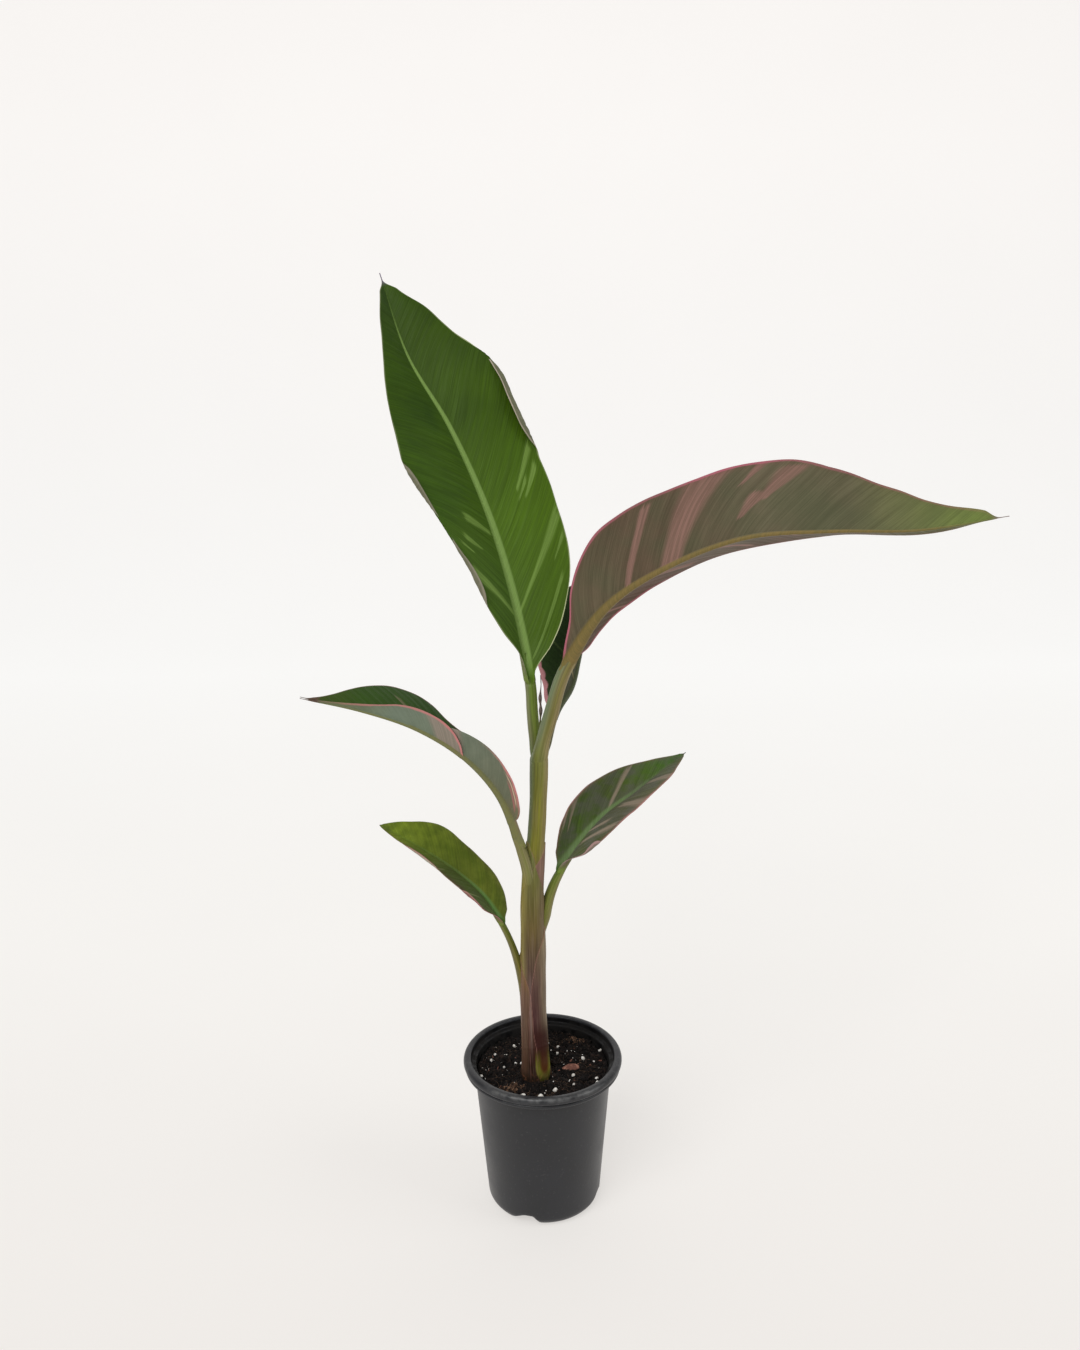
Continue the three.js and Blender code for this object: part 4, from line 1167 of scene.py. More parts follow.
def half_blade(leaf, t, side):
    """One half: how far out and up each point lies from the midrib, and where it is on the blade."""
    run = foot_run(leaf)
    width = half_width_rows(leaf, t, side, run)
    rib = np.minimum(smooth_row(leaf["rib"], t), lerp(0.98, 0.8, ease(0, 2 * run, t)) * width)
    extra = np.zeros_like(t)
    turn = np.zeros_like(t)
    for rolled_side, start, end, spare, over in leaf["rolls"]:
        if rolled_side == side:
            extra = extra + spare * along_roll(start, end, 0.4 * ROLL_RAMP, 1.5 * ROLL_RAMP, t)
            turn = turn + math.radians(over) * along_roll(start, end, 0, ROLL_RAMP, t)
    reach = width + extra
    # s is the way walked from the midrib: over the rib first, then on to the margin.
    over_rib = rib[:, None] * np.array(RIB_COLUMNS)
    begin = np.minimum(over_rib[:, -1], 0.96 * width)
    over_rib = np.minimum(over_rib, begin[:, None] * np.array(RIB_COLUMNS) / RIB_COLUMNS[-1])
    outward = 1 - (1 - np.linspace(0, 1, BLADE_COLUMNS + 1)[1:]) ** COLUMN_CROWDING
    s = np.hstack([over_rib, begin[:, None] + (reach - begin)[:, None] * outward])
    own_lift = smooth_row(leaf["lift_" + side], t)
    lift = np.radians(lerp(FOOT_LIFT, own_lift, ease(-run, 1.6 * run, t)))[:, None]
    share = np.clip(s / width[:, None], 0, 1)
    bow = math.radians(leaf["arch"]) * (1 - 2 * share) * ease(0, 0.12, t)[:, None]
    rolled = ease(0, 1, (s - width[:, None] + 0.4 * BEND_LENGTH) / BEND_LENGTH)
    angle = lift + bow + turn[:, None] * rolled
    step = np.diff(s, axis=1)
    halfway = 0.5 * (angle[:, 1:] + angle[:, :-1])
    start = np.zeros((len(t), 1))
    out = np.hstack([start, np.cumsum(step * np.cos(halfway), axis=1)])
    up = np.hstack([start, np.cumsum(step * np.sin(halfway), axis=1)])
    height, count, phase = leaf["waves"][side]
    wave = height * share ** 2.2 * np.sin(math.tau * count * t[:, None] + phase)
    wave = wave * ease(0, 0.1, t)[:, None] * (1 - ease(0.9, 1, t))[:, None]
    return out - wave * np.sin(angle), up + wave * np.cos(angle), s, reach[:, None] - s, rib


# %% Which vein a point lies on
def vein_foot(leaf, side, along_mm, across_mm, length):
    """The place on the midrib, in mm, where the vein through a point starts."""
    foot = along_mm
    for _ in range(5):
        foot = along_mm - across_mm * smooth_row(leaf["slope"][side], foot / length)
    return foot


# %% [markdown]
# ## Two faces and a rim
#
# A blade is about half a millimetre thick. One open sheet would do for a picture, but a real leaf
# has two faces of quite different colours, and the two need their own finish. So the middle
# surface is pushed out both ways along its normals, with the midrib standing proud below and
# hollowed above, and the two faces are sewn together round the edge.

# %% Build the two faces of a blade
HALF_THICKNESS = 0.22
MARGIN_HALF_THICKNESS = 0.07
KEEL = 0.8
FOOT_KEEL = 1.06
HOLLOW = 0.30
SHOULDER = 0.12
CORRUGATION, CORRUGATION_LENGTH = 0.10, 7.0
FINE_RIDGES, FINE_LENGTH = 0.035, 2.3
BLADE_ROWS_PER_MM = 0.85


def sheet_mesh(middle, fields, thickness_up, thickness_down):
    """Points, faces and fields of a closed sheet round a middle surface (rows x columns x 3)."""
    rows, columns = middle.shape[:2]
    ahead = np.gradient(middle, axis=0)
    across = np.gradient(middle, axis=1)
    normal = unit(np.cross(across, ahead))
    upper = middle + normal * thickness_up[..., None]
    lower = middle - normal * thickness_down[..., None]
    points = np.vstack([upper.reshape(-1, 3), lower.reshape(-1, 3)])
    top = grid_quads(rows, columns)
    size = rows * columns
    bottom = top[:, ::-1] + size
    i, j = np.arange(rows - 1) * columns, np.arange(columns - 1)
    left = np.stack([i, i + columns, i + columns + size, i + size], 1)
    right = left[:, ::-1] + columns - 1
    start = np.stack([j, j + size, j + 1 + size, j + 1], 1)
    end = start[:, ::-1] + (rows - 1) * columns
    faces = np.vstack([top, bottom, left, right, start, end])
    kinds = np.concatenate([np.zeros(len(top)), np.ones(len(faces) - len(top))])
    return points, faces, kinds, {k: np.concatenate([v.ravel()] * 2) for k, v in fields.items()}


def blade_sheet(leaf, t, sides=("left", "right"), shift=0.0):
    """The closed sheet of a blade, or of one half of it."""
    middle, _, right, upward = spine_frame(leaf, t)
    length = blade_length(leaf)
    halves = []
    for side in sides:
        sign = -1 if side == "left" else 1
        out, up, s, edge, rib = half_blade(leaf, t, side)
        points = middle[:, None] + sign * right[:, None] * out[..., None]
        points = points + upward[:, None] * (up + shift)[..., None]
        along_mm = np.broadcast_to((t * length)[:, None], s.shape)
        vein = vein_foot(leaf, side, along_mm, s, length)
        rib_share = s / rib[:, None]
        rim = np.broadcast_to(smooth_row(leaf["rim"][side], t)[:, None], s.shape)
        made = [points, sign * s, edge, vein, rib_share, np.broadcast_to(rib[:, None], s.shape), rim]
        halves.append([m[:, ::-1] for m in made] if side == "left" else made)
    if len(halves) == 2:
        halves = [[np.concatenate([a[:, :-1], b], axis=1) for a, b in zip(*halves)]]
    points, s, edge, vein, rib_share, rib, rim = halves[0]
    end_fade = (1 - ease(0.95, 1.0, t))[:, None]
    thin = lerp(MARGIN_HALF_THICKNESS, HALF_THICKNESS, ease(0, 1.5, edge))
    roundness = np.clip(1 - rib_share ** 2, 0, 1)
    keel = lerp(FOOT_KEEL, KEEL, ease(0, 0.25, t))[:, None] * rib * np.sqrt(roundness) * end_fade
    hollow = HOLLOW * rib * roundness ** 2 * end_fade
    shoulder = SHOULDER * np.exp(-((rib_share - 1.15) / 0.3) ** 2) * end_fade
    outside = ease(1.2, 3.0, rib_share) * ease(0, 3, edge) * end_fade
    coarse = np.sin(vein * math.tau / CORRUGATION_LENGTH + 0.7 * np.sin(vein / 9))
    fine = np.sin(vein * math.tau / FINE_LENGTH + np.sin(vein / 3))
    ripple = (CORRUGATION * coarse + FINE_RIDGES * fine) * outside
    # The rib may not be hollowed through, so its lower side always lies deeper than the hollow.
    up_side = thin - hollow + shoulder + ripple
    down_side = thin + keel - ripple
    fields = {"vein": vein, "across": s, "edge": edge, "rib": rib_share, "rim": rim,
              "along": np.broadcast_to(t[:, None], s.shape)}
    return sheet_mesh(points, fields, up_side, down_side)


def joined(sheets):
    """Several closed sheets as one mesh."""
    points, faces, kinds, fields = zip(*sheets)
    starts = np.cumsum([0] + [len(p) for p in points])
    faces = [f + start for f, start in zip(faces, starts)]
    fields = {key: np.concatenate([f[key] for f in fields]) for key in fields[0]}
    return np.vstack(points), np.vstack(faces), np.concatenate(kinds), fields


# %% [markdown]
# ## The finish of a leaf's face
#
# Upper and under faces differ in colour, not in kind, so one function makes both. It starts from
# a deep and a bright colour that change from vein to vein, lays the streaks over them, then the
# midrib, the margin and the tip. The `streaks` come from the leaf's own rows. Fine vein lines
# darken the colour a little and stand up as relief.

# %% Finish: one face of a leaf
# What a face has where its own row of looks says nothing else.
PLAIN_LOOK = dict(
    spacing=6.0, tone=0.3, patch_scale=26.0, patchy=0.35, ragged=1.4, soft=0.3, streaky=0.8,
    line="#7c8068", lines=0.25, blush=("#000000", 1.0, 0.0), crease_highlight_and_shade=(),
    rib_edge=(0.75, 1.25), rib_fade=(0.75, 0.98), thread="#6b5c50", thread_from=0.965,
    gloss=0.48, bump=0.5, specular=0.22,
)


def streaks_shown(tree, leaf, look, vein, across):
    """How strongly the leaf's pale streaks show at a point."""
    shown = 0.0
    from_rib = maths(tree, "ABSOLUTE", across)
    for middle, foot, head, begin, end, side in leaf["streaks"]:
        mask = use_group(tree, STREAK, Vein=vein, Across=from_rib, Middle=middle, Foot=foot,
                         Head=head, From=begin, To=end, Ragged=look["ragged"], Soft=look["soft"])
        on_left, on_right = (1.0, 0.0) if side < 0 else (0.0, 1.0)
        on_side = stepped(tree, across, -0.5, 0.5, on_left, on_right)
        shown = maths(tree, "MAXIMUM", shown, times(tree, mask["Mask"], on_side))
    return shown


def leaf_face(name, leaf, look, seed):
    """A face's finish: look gives its colours, and how strongly each effect shows."""
    look = {**PLAIN_LOOK, **look}
    material, tree, shader = new_finish(name)
    vein, across, edge, along, rib, rim = (
        field(tree, f) for f in ("vein", "across", "edge", "along", "rib", "rim"))
    veins = use_group(tree, VEINS, Vein=vein, Across=across, Spacing=look["spacing"], Seed=seed)
    patches = use_group(tree, BLOTCHES, Scale=look["patch_scale"], Share=0.5, Softness=0.2)
    # The leaf's colours on its left and right, uneven from vein to vein and in patches.
    left, right = (ramp(tree, along, look[side]) for side in ("left", "right"))
    blade = mixed(tree, stepped(tree, across, -2.0, 2.0), left, right)
    blade = mixed(tree, times(tree, veins["Tone"], look["tone"]), blade, "#a8a898", "MULTIPLY")
    blade = mixed(tree, times(tree, patches["Mask"], look["patchy"]), blade, look["patch"])
    # The pale streaks, a little less so on each vein line, and the lines themselves.
    pale = times(tree, streaks_shown(tree, leaf, look, vein, across),
                 stepped(tree, veins["Lines"], 0.0, 1.0, 1.0, 0.82), look["streaky"])
    blade = mixed(tree, pale, blade, look["streak"])
    blade = mixed(tree, times(tree, veins["Lines"], look["lines"]), blade, look["line"], "MULTIPLY")
    # A blush that fades inward from the margin, and lines beside it, which are painted highlight and painted
    # shade where the margin curls.
    code, blush_width, share = look["blush"]
    blush = times(tree, stepped(tree, edge, 0.0, blush_width, share, 0.0), rim,
                  stepped(tree, veins["Tone"], 0.0, 1.0, 0.5, 1.0))
    blade = mixed(tree, blush, blade, code)
    for code, offset, half, begin, end in look["crease_highlight_and_shade"]:
        from_line = maths(tree, "ABSOLUTE", maths(tree, "SUBTRACT", edge, offset))
        line = times(tree, stepped(tree, from_line, half * 0.6, half * 1.4, 0.85, 0.0),
                     stepped(tree, along, begin, begin + 0.03),
                     stepped(tree, along, end - 0.05, end, 1.0, 0.0))
        blade = mixed(tree, line, blade, code)
    # The margin's line, the midrib, the foot and the dry thread at the tip.
    margin = use_group(tree, MARGIN, Edge=edge, Along=along, Width=look["margin_width"], Seed=seed)
    rim = times(tree, rim, stepped(tree, along, -0.01, 0.035))
    blade = mixed(tree, times(tree, margin["Mask"], rim), blade, look["margin"])
    on_rib = times(tree, stepped(tree, rib, *look["rib_edge"], 1.0, 0.0),
                   stepped(tree, along, *look["rib_fade"], 0.9, 0.2))
    rib_colour = mixed(tree, veins["Lines"], look["rib"], look.get("rib_deep", look["rib"]))
    blade = mixed(tree, on_rib, blade, rib_colour)
    blade = mixed(tree, stepped(tree, along, -0.035, 0.03, 0.9, 0.0), blade, look["foot"])
    on_thread = stepped(tree, along, look["thread_from"], look["thread_from"] + 0.02)
    blade = mixed(tree, on_thread, blade, look["thread"])
    gloss = look["gloss"]
    feed(shader, Base_Color=blade,
         Roughness=stepped(tree, veins["Lines"], 0.0, 1.0, gloss, gloss + 0.12),
         Normal=relief(tree, veins["Height"], 0.0005, look["bump"]),
         Specular_IOR_Level=look["specular"])
    return material


# %% The leaves' colours
LOOKS = {
    "leaf_1": (
        dict(right=[(0, "#4b661a"), (0.15, "#4f6d1a"), (0.35, "#50710d"), (0.6, "#3a5504"),
                    (0.85, "#2e4507"), (1, "#3a5415")],
             # The left half is darker than the right, partly as painted shade on the raised half that turns
             # from the light.
             left=[(0, "#47631e"), (0.2, "#456318"), (0.4, "#3d5b0f"), (0.65, "#304b11"),
                   (0.9, "#263c10"), (1, "#30481a")],
             foot="#5c7c1c", patch="#476402", patchy=0.35, streak="#7e9c4a", streaky=0.66,
             rib="#84a057", rib_deep="#76924a", margin="#bec495", margin_width=0.9,
             thread="#685c72", spacing=7.0, specular=0.14, soft=0.45, lines=0.35),
        dict(right=[(0, "#78785f"), (1, "#6c6c56")],
             left=[(0, "#807c67"), (1, "#6c6c56")],
             foot="#6f8438", patch="#666a50", streak="#9b8f7e", rib="#767c4e", margin="#afa493",
             margin_width=1.0),
    ),
    "leaf_2": (
        dict(right=[(0, "#3a561c"), (0.8, "#3c6020"), (1, "#567620")],
             left=[(0, "#3a561c"), (0.8, "#3c6020"), (1, "#567620")],
             foot="#5a6a34", patch="#33521a", streak="#b8a288", rib="#7f8f4c", margin="#b06a72",
             margin_width=1.6, thread="#7a7068"),
        dict(right=[(0, "#695e49"), (0.15, "#6d5f4a"), (0.35, "#6b5846"), (0.55, "#756c55"),
                    (0.7, "#726c52"), (0.82, "#7b8150"), (0.93, "#829549"), (1, "#718041")],
             left=[(0, "#675246"), (0.3, "#735a4e"), (0.7, "#6b5643"), (1, "#69753f")],
             foot="#7e763e", patch="#515a3d", patchy=0.5, streak="#987368", streaky=0.85,
             rib="#716434", rib_deep="#836f3d", margin="#b46775", margin_width=1.7, lines=0.26,
             thread="#857570", spacing=7.0, tone=0.35, soft=0.4, blush=("#7c4844", 5.0, 0.45)),
    ),
    "leaf_3": (
        dict(right=[(0, "#242e1a"), (1, "#2a3a1c")],
             left=[(0, "#263e0c"), (1, "#335813")],
             foot="#3c5020", patch="#20330a", streak="#5f783a", streaky=0.5, rib="#5d7830",
             margin="#e09aa0", margin_width=4.2, thread="#736b48"),
        dict(right=[(0, "#4c4e38"), (1, "#50523e")],
             left=[(0, "#4c4e38"), (1, "#50523e")],
             foot="#4c5638", patch="#40422e", streak="#97885c", rib="#4a5236", margin="#a86a70",
             margin_width=1.6, thread="#736b48"),
    ),
    "leaf_4": (
        dict(right=[(0, "#243c0a"), (0.5, "#284610"), (0.8, "#365612"), (1, "#4a5620")],
             left=[(0, "#243c0a"), (0.5, "#284610"), (0.8, "#365612"), (1, "#4a5620")],
             foot="#5c6c38", patch="#203608", streak="#8a7a60", streaky=0.4, rib="#566a30",
             margin="#a4646a", margin_width=0.7, thread="#5a4636", thread_from=0.93, tone=0.15),
        dict(right=[(0, "#737256"), (0.5, "#79816a"), (1, "#717452")],
             left=[(0, "#757454"), (0.12, "#736d52"), (0.4, "#7a826e"), (0.7, "#7e8d7a"),
                   (0.9, "#7b8159"), (1, "#716b52")],
             foot="#848448", patch="#626d59", patchy=0.5, patch_scale=60.0, streak="#9d8d81",
             streaky=0.85, rib="#717249", rib_deep="#797845", margin="#c9827f", margin_width=2.0,
             thread="#5e4b3e", thread_from=0.93, lines=0.12, spacing=9.0, ragged=2.6, tone=0.15,
             # A pale line of painted highlight and a mauve line of painted shade, where the near half's
             # margin curls.
             crease_highlight_and_shade=[("#d8b49c", 2.6, 0.45, 0.14, 0.30),
                              ("#a86a66", 4.2, 0.6, 0.12, 0.27)]),
    ),
    "leaf_5": (
        dict(right=[(0, "#627228"), (0.2, "#6d7826"), (0.45, "#606d1e"), (0.7, "#728324"),
                    (0.9, "#899d2f"), (1, "#748434")],
             left=[(0, "#5c6c30"), (0.2, "#4c5c28"), (0.45, "#4c5a1e"), (0.7, "#647620"),
                   (0.9, "#7e921f"), (1, "#748434")],
             foot="#46601c", patch="#44560c", patchy=0.6, patch_scale=110.0, streak="#9a9a70",
             streaky=0.5, rib="#587c3c", rib_fade=(0.1, 0.52), rib_edge=(0.4, 1.6),
             margin="#a58f7c", margin_width=0.7, thread="#4c4a28", thread_from=0.985, tone=0.35,
             blush=("#503030", 6.5, 0.8), specular=0.16),
        dict(right=[(0, "#806a5c"), (1, "#77753f")],
             left=[(0, "#a86870"), (0.2, "#946058"), (0.32, "#7c6858"), (0.5, "#a09a84"),
                   (0.66, "#b8b4a2"), (0.8, "#8c6c50"), (1, "#77753f")],
             foot="#6c7c30", patch="#8c7c6a", patchy=0.2, streak="#d6cdbd", streaky=0.9,
             rib="#6f7444", margin="#b08078", margin_width=0.6, thread="#4c4a28",
             thread_from=0.985),
    ),
    "leaf_6": (
        dict(right=[(0, "#56622c"), (0.3, "#4c522c"), (0.55, "#5c5c42"), (0.8, "#646a48"),
                    (1, "#506c30")],
             left=[(0, "#4e6726"), (0.3, "#4c651e"), (0.55, "#55642c"), (0.8, "#4e6e22"),
                   (1, "#44722c")],
             foot="#466820", patch="#5c5c50", patchy=0.75, patch_scale=95.0, streak="#a08e7c",
             streaky=0.7, rib="#748c5a", rib_deep="#66804c", rib_edge=(0.4, 2.3),
             rib_fade=(0.4, 0.85), margin="#b07c78", margin_width=1.3, thread="#3a3a26",
             thread_from=0.97, ragged=2.2, tone=0.45, soft=0.6, blush=("#966c5e", 5.0, 0.6),
             specular=0.16),
        dict(right=[(0, "#8c7a70"), (1, "#767858")],
             left=[(0, "#76645a"), (1, "#6a6c48")],
             foot="#6a8428", patch="#857264", streak="#b08c80", streaky=0.8, rib="#6c6e42",
             margin="#b08a88", margin_width=1.6, thread="#3a3a26", thread_from=0.97),
    ),
}
print("looks for", len(LOOKS), "leaves, two faces each")

# %% [markdown]
# ## A lobe that overlaps
#
# The fourth leaf unrolled badly: near its middle, the outer part of the near half overlaps the
# inner part, and its pink margin runs down to the midrib in front of it. Bending one sheet into
# such a pleat would stretch it, so the near half is two sheets that share the midrib: an inner
# lobe that fades out under the outer one, and the outer lobe, raised a little towards the front.

# %% Build the blades
OVERLAP_LEAF = "leaf_4"
OVERLAP_FROM = 0.385
LOBE_RAISED = 0.9
OUTER_LOBE = [0, 0, 0, 0, 0, 0, 0, 0, 0.3, 8, 14, 17.3, 18, 17.6, 15.5, 11, 7.6, 5, 3, 1.5, 0.4]
OUTER_RIM = [1, 1, 1, 1, 1, 1, 0.9, 0.8, 0.7, 0.2, 0]

for number, (name, leaf) in enumerate(LEAVES.items(), start=1):
    rows = int(blade_length(leaf) * BLADE_ROWS_PER_MM) + 30
    t = np.linspace(-foot_run(leaf), 1, rows)
    if name == OVERLAP_LEAF:
        outer = dict(leaf, left=OUTER_LOBE, rim={"left": OUTER_RIM})
        t_outer = np.linspace(OVERLAP_FROM, 1, int(rows * (1 - OVERLAP_FROM)) + 24)
        lobe = blade_sheet(outer, t_outer, sides=("left",), shift=-LOBE_RAISED)
        points, faces, kinds, fields = joined([blade_sheet(leaf, t), lobe])
    else:
        points, faces, kinds, fields = blade_sheet(leaf, t)
    upper_look, under_look = LOOKS[name]
    finishes = [leaf_face(name + "_upper_face", leaf, upper_look, number * 3.1),
                leaf_face(name + "_under_face", leaf, under_look, number * 3.1 + 1.3)]
    add_piece(name + "_blade", points, faces, finishes, leaf["replaces"], kinds, fields)

# %% [markdown]
# ## The stalks
#
# A stalk is round below and has a channel above that runs into the blade. It is a tube whose
# upper side is pressed in, more and more towards the blade. At its foot a real stalk simply
# becomes the sheath. So whatever stands out of the stem there is drawn back to just under the
# stem's own surface, and let go little by little with height.

# %% Build the stalks
# How deep a foot is sunk is a share of the stem's half width: a little as far as the stalk merges,
# and more at its very foot.
STALK_SIDES = 56
STALK_ROWS = 110
STALK_MERGE = 14.0
STALK_CHANNEL = 0.35
STALK_IN_BLADE = 0.05
MERGING_SUNK = 0.02
FOOT_SUNK = 0.1
FOOT_SUNK_HEIGHT = 9.0


def stalk_mesh(leaf):
    """Points, faces and fields of a stalk, from inside the stem to just inside the blade."""
    spans = len(leaf["spine"]) - 1 - leaf["stalk"]
    start = -leaf["stalk"] / spans
    share = np.linspace(0, 1, STALK_ROWS)
    run = foot_run(leaf)
    t = lerp(start, STALK_IN_BLADE, share)
    middle, _, right, upward = spine_frame(leaf, t)
    radius = smooth_row(leaf["radius"], np.clip((t - start) / -start, 0, 1))
    radius = radius * (1 - 0.45 * ease(0.01, STALK_IN_BLADE, t))
    turn = np.linspace(0, math.tau, STALK_SIDES, endpoint=False)
    above = np.clip(np.sin(turn), 0, 1)
    # The channel deepens along the stalk, and within the blade the whole upper side lies flat.
    depth = lerp(STALK_CHANNEL * share, 1.1, ease(-run, -0.3 * run, t))
    channel = radius[:, None] * depth[:, None] * ease(0.3, 0.95, np.sin(turn))
    ridged = 1 + 0.03 * np.sin(turn * 19) / radius[:, None]
    out = radius[:, None] * np.cos(turn) * ridged
    up = radius[:, None] * np.sin(turn) * ridged - channel
    flat = np.minimum(radius[:, None] * np.sin(turn), -0.3 * radius[:, None] * above)
    up = lerp(up, flat, ease(-0.4 * run, 0.0, t)[:, None])
    points = middle[:, None] + right[:, None] * out[..., None] + upward[:, None] * up[..., None]
    # What stands out of the stem at the foot is drawn back to the stem's surface.
    stem_x, stem_y, half_x, half_y = stem_at(points[..., 2])
    aside, behind = (points[..., 0] - stem_x) / half_x, (points[..., 1] - stem_y) / half_y
    reach = np.hypot(aside, behind)
    above_foot = points[..., 2] - leaf["spine"][0][2]
    let_go = ease(0, leaf.get("merge", STALK_MERGE), above_foot)
    sunk = MERGING_SUNK * (1 - let_go) + FOOT_SUNK * (1 - ease(0, FOOT_SUNK_HEIGHT, above_foot))
    kept = np.where(reach > 1, lerp(1.0, reach, let_go), reach) - sunk
    points[..., 0] = stem_x + (points[..., 0] - stem_x) * kept / reach
    points[..., 1] = stem_y + (points[..., 1] - stem_y) * kept / reach
    outward = points - middle[:, None]
    faces = tube_faces(STALK_ROWS, STALK_SIDES)
    fields = {
        "along": np.broadcast_to(share[:, None], out.shape),
        "around": np.broadcast_to(turn * radius.mean(), out.shape),
        "up": points[..., 2],
        "rightward": outward[..., 0] / radius[:, None],
        "on_stem": np.clip(aside, -1, 1),
        "let_go": let_go,
        "channel": np.broadcast_to(above ** 3, out.shape),
    }
    return points.reshape(-1, 3), faces, {k: np.asarray(v).ravel() for k, v in fields.items()}


# %% Finish: a stalk
def stalk_finish(name, sheath, foot, head, left, right, channel, seed):
    """Colours run from foot to head, and turn to painted light and shade on its left and right sides."""
    material, tree, shader = new_finish(name)
    along, rightward, up = (field(tree, f) for f in ("along", "rightward", "up"))
    skin = mixed(tree, along, foot, head)
    skin = mixed(tree, stepped(tree, rightward, -0.75, 0.05, 0.85, 0.0), skin, left)
    skin = mixed(tree, stepped(tree, rightward, 0.05, 0.8, 0.0, 0.85), skin, right)
    skin = mixed(tree, times(tree, field(tree, "channel"), along, 0.8), skin, channel)
    as_sheath = stepped(tree, field(tree, "let_go"), 0.05, 1.0, 1.0, 0.0)
    skin = mixed(tree, as_sheath, skin, sheath_skin_and_side_light(tree, sheath, up, field(tree, "on_stem")))
    skin, fibre = fibrous(tree, skin, field(tree, "around"), up, seed)
    feed(shader, Base_Color=skin, Roughness=stepped(tree, fibre["Tone"], 0.0, 1.0, 0.42, 0.55),
         Normal=relief(tree, fibre["Height"], 0.0003, 0.5), Specular_IOR_Level=0.24)
    return material


# For each: the sheath at its foot, then the paints of foot, head, left, right and channel; left and right are
# painted light and shade on the stalk's sides.
STALK_COLOURS = {
    "leaf_1": ("inner", "#747c30", "#84a040", "#8a8c68", "#647820", "#587818"),
    "leaf_2": ("inner", "#84823e", "#7e763e", "#7d8d6b", "#968658", "#5a6a34"),
    "leaf_3": ("inner", "#5c6236", "#5a6a36", "#66704a", "#6c6a48", "#3c5020"),
    "leaf_4": ("sheath_4", "#7c8048", "#848448", "#8e8a5a", "#78744a", "#5c6c38"),
    "leaf_5": ("sheath_5", "#8a7028", "#6c7c30", "#7a7848", "#84822c", "#46601c"),
    "leaf_6": ("sheath_6", "#807a3a", "#6a8428", "#747c2c", "#86804c", "#466820"),
}
for number, (name, leaf) in enumerate(LEAVES.items(), start=1):
    stalk = name.replace("leaf", "stalk")
    points, faces, fields = stalk_mesh(leaf)
    finish = stalk_finish(stalk + "_skin", *STALK_COLOURS[name], number * 1.7)
    add_piece(stalk + "_limb", points, faces, [finish], replaces=[stalk], fields=fields)

# %% [markdown]
# ## The next leaf's dry tip
#
# Between the two youngest stalks stands the rolled tip of the leaf that comes next, a dry thread
# with two small knots. It is a thin tube whose radius is one more row of sizes.

# %% Build the dry tip
TIP_LINE = [[0.8, -12.4, 366], [1.3, -12.2, 378], [2.0, -11.8, 388], [1.7, -11.4, 397],
            [2.4, -11.1, 406], [2.2, -11.0, 413]]
TIP_RADIUS = [1.35, 1.1, 0.8, 0.6, 1.3, 0.7, 1.25, 0.5, 0.3, 0.36, 0.28]
TIP_DRIES = (0.378, 0.388)
steps = np.linspace(0, 1, 70)
tip_points, tip_faces = strand(smooth_row(TIP_LINE, steps), smooth_row(TIP_RADIUS, steps), 14)
DRY_TIP, tree, shader = new_finish("dry_leaf_tip")
dry = use_group(tree, BLOTCHES, Scale=700.0, Share=0.5, Softness=0.15)
thread = mixed(tree, dry["Mask"], "#3a3030", "#6a5c54")
dried = stepped(tree, coordinates(tree)["Z"], *TIP_DRIES)
crinkles = cloudy(tree, place(tree), 2500.0, 2.0)
feed(shader, Base_Color=mixed(tree, dried, "#5c6030", thread), Roughness=0.8,
     Normal=relief(tree, crinkles, 0.0002, 0.6))
add_piece("dry_tip_thread", tip_points, tip_faces, [DRY_TIP], replaces=["new_leaf_spike"])

# %% [markdown]
# ## A plain studio
#
# The plant stands on a pale sweep: a floor that curves up into a backdrop, so that no line shows
# behind it. Soft light comes from a wide lamp above the camera, a weaker one at the side, and the
# pale surroundings. The camera looks slightly down from the height of the leaves.

# %% Floor and backdrop
# Sizes of the sweep are in metres.
SWEEP_NEAR, SWEEP_FAR, SWEEP_RADIUS, SWEEP_TOP, SWEEP_HALF_WIDTH = -3.0, 1.6, 1.2, 4.5, 5.0
profile = [(SWEEP_NEAR, 0.0)]
for bend in np.radians(np.linspace(0, 90, 25)):
    profile.append((SWEEP_FAR + SWEEP_RADIUS * math.sin(bend), SWEEP_RADIUS * (1 - math.cos(bend))))
profile.append((SWEEP_FAR + SWEEP_RADIUS, SWEEP_TOP))
sweep_points = [(x, y, z) for y, z in profile for x in (-SWEEP_HALF_WIDTH, SWEEP_HALF_WIDTH)]
sweep_faces = [(2 * k, 2 * k + 1, 2 * k + 3, 2 * k + 2) for k in range(len(profile) - 1)]
sweep_mesh = bpy.data.meshes.new("studio_sweep")
sweep_mesh.from_pydata(sweep_points, [], sweep_faces)
sweep_mesh.shade_smooth()
sweep = bpy.data.objects.new("studio_sweep", sweep_mesh)
bpy.context.scene.collection.objects.link(sweep)
PAPER, tree, shader = new_finish("pale_paper")
grain = cloudy(tree, place(tree), 3.0, 2.0)
at = coordinates(tree)
back = maths(tree, "ADD", at["Y"], at["Z"])
glow = ramp(tree, back, [(-0.4, "#bdb8b4"), (0.4, "#cfcdca"), (1.6, "#d9d9d8"), (4.4, "#dad7d5")])
feed(shader, Base_Color=mixed(tree, grain, "#9e9d9b", "#a3a2a0"), Roughness=0.9,
     Specular_IOR_Level=0.1, Emission_Color=glow, Emission_Strength=1.0)
sweep_mesh.materials.append(PAPER)
print("sweep faces:", len(sweep_faces))


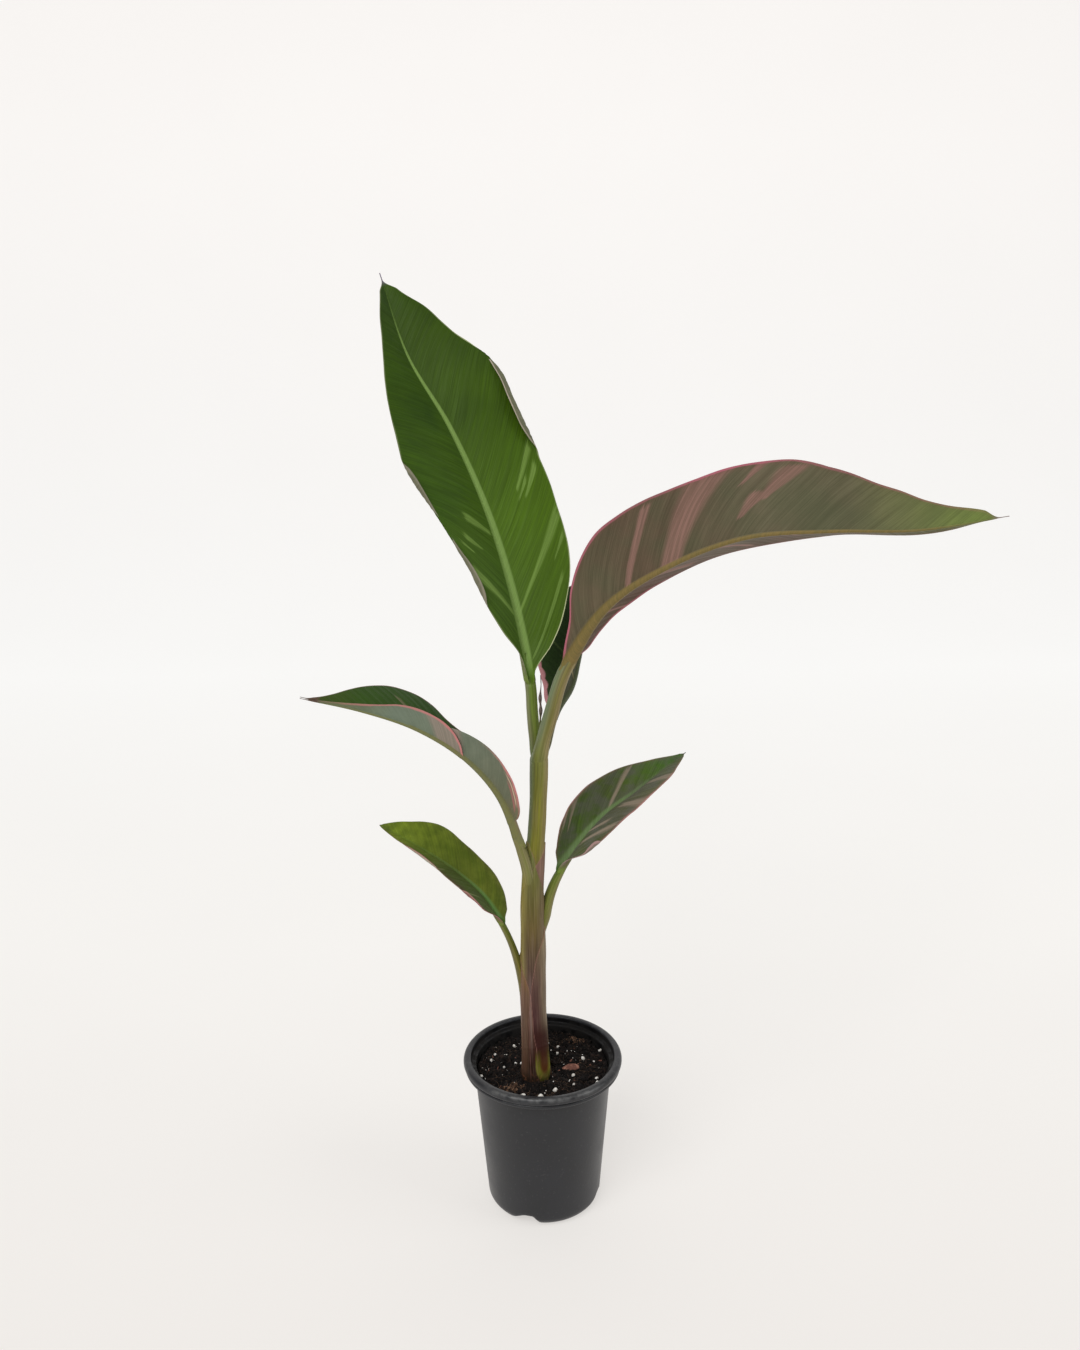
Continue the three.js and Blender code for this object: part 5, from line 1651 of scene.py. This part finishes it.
# %% Lights
def soft_lamp(name, spot, target, size, power):
    """A white area lamp that faces a target; its size is (width, height) in metres."""
    lamp = bpy.data.lights.new(name, "AREA")
    lamp.shape = "RECTANGLE"
    lamp.size, lamp.size_y = size
    lamp.energy = power
    holder = bpy.data.objects.new(name, lamp)
    bpy.context.scene.collection.objects.link(holder)
    holder.location = spot
    holder.rotation_euler = (Vector(target) - Vector(spot)).to_track_quat("-Z", "Y").to_euler()
    return holder


PLANT_MIDDLE = (0.03, 0.0, 0.35)
soft_lamp("key_lamp", (-0.9, -1.7, 2.1), PLANT_MIDDLE, (1.8, 1.6), 44)
soft_lamp("side_lamp", (2.0, -0.6, 1.3), PLANT_MIDDLE, (1.4, 1.4), 15)
world = bpy.data.worlds.new("pale_room")
bpy.context.scene.world = world
world.use_nodes = True
room = world.node_tree.nodes["Background"]
room.inputs["Color"].default_value = (0.98, 0.975, 0.97, 1)
room.inputs["Strength"].default_value = 0.3
bpy.context.scene.view_settings.view_transform = "Standard"
print("lamps and room light set")

# %% [markdown]
# ## The camera
#
# The camera's place, tilt and roll were measured from how round the pot's rim looks, so they are
# kept as plain numbers: 0.8 m in front of the pot and 0.62 m up. The focal length in pixels on a
# frame 1350 pixels high gives the lens: Blender fits the 36 mm sensor to the frame's long side.

# %% Camera
CAMERA_PLACE = Vector((0.0018, -0.800, 0.619))
CAMERA_PITCH = math.radians(14.63)
CAMERA_ROLL = math.radians(-0.76)
FOCAL_PIXELS = 1206.0
FRAME_HEIGHT = 1350.0
SENSOR = 36.0
forward = Vector((0, math.cos(CAMERA_PITCH), -math.sin(CAMERA_PITCH)))
level_right = Vector((1, 0, 0))
level_up = level_right.cross(forward)
right_axis = math.cos(CAMERA_ROLL) * level_right + math.sin(CAMERA_ROLL) * level_up
up_axis = -math.sin(CAMERA_ROLL) * level_right + math.cos(CAMERA_ROLL) * level_up
camera_data = bpy.data.cameras.new("camera")
camera_data.sensor_width = SENSOR
camera_data.lens = FOCAL_PIXELS / FRAME_HEIGHT * SENSOR
camera = bpy.data.objects.new("camera", camera_data)
bpy.context.scene.collection.objects.link(camera)
turned = Matrix((right_axis, up_axis, -forward)).transposed().to_4x4()
camera.matrix_world = Matrix.Translation(CAMERA_PLACE) @ turned
bpy.context.scene.camera = camera
print("lens", round(camera_data.lens, 2), "mm")
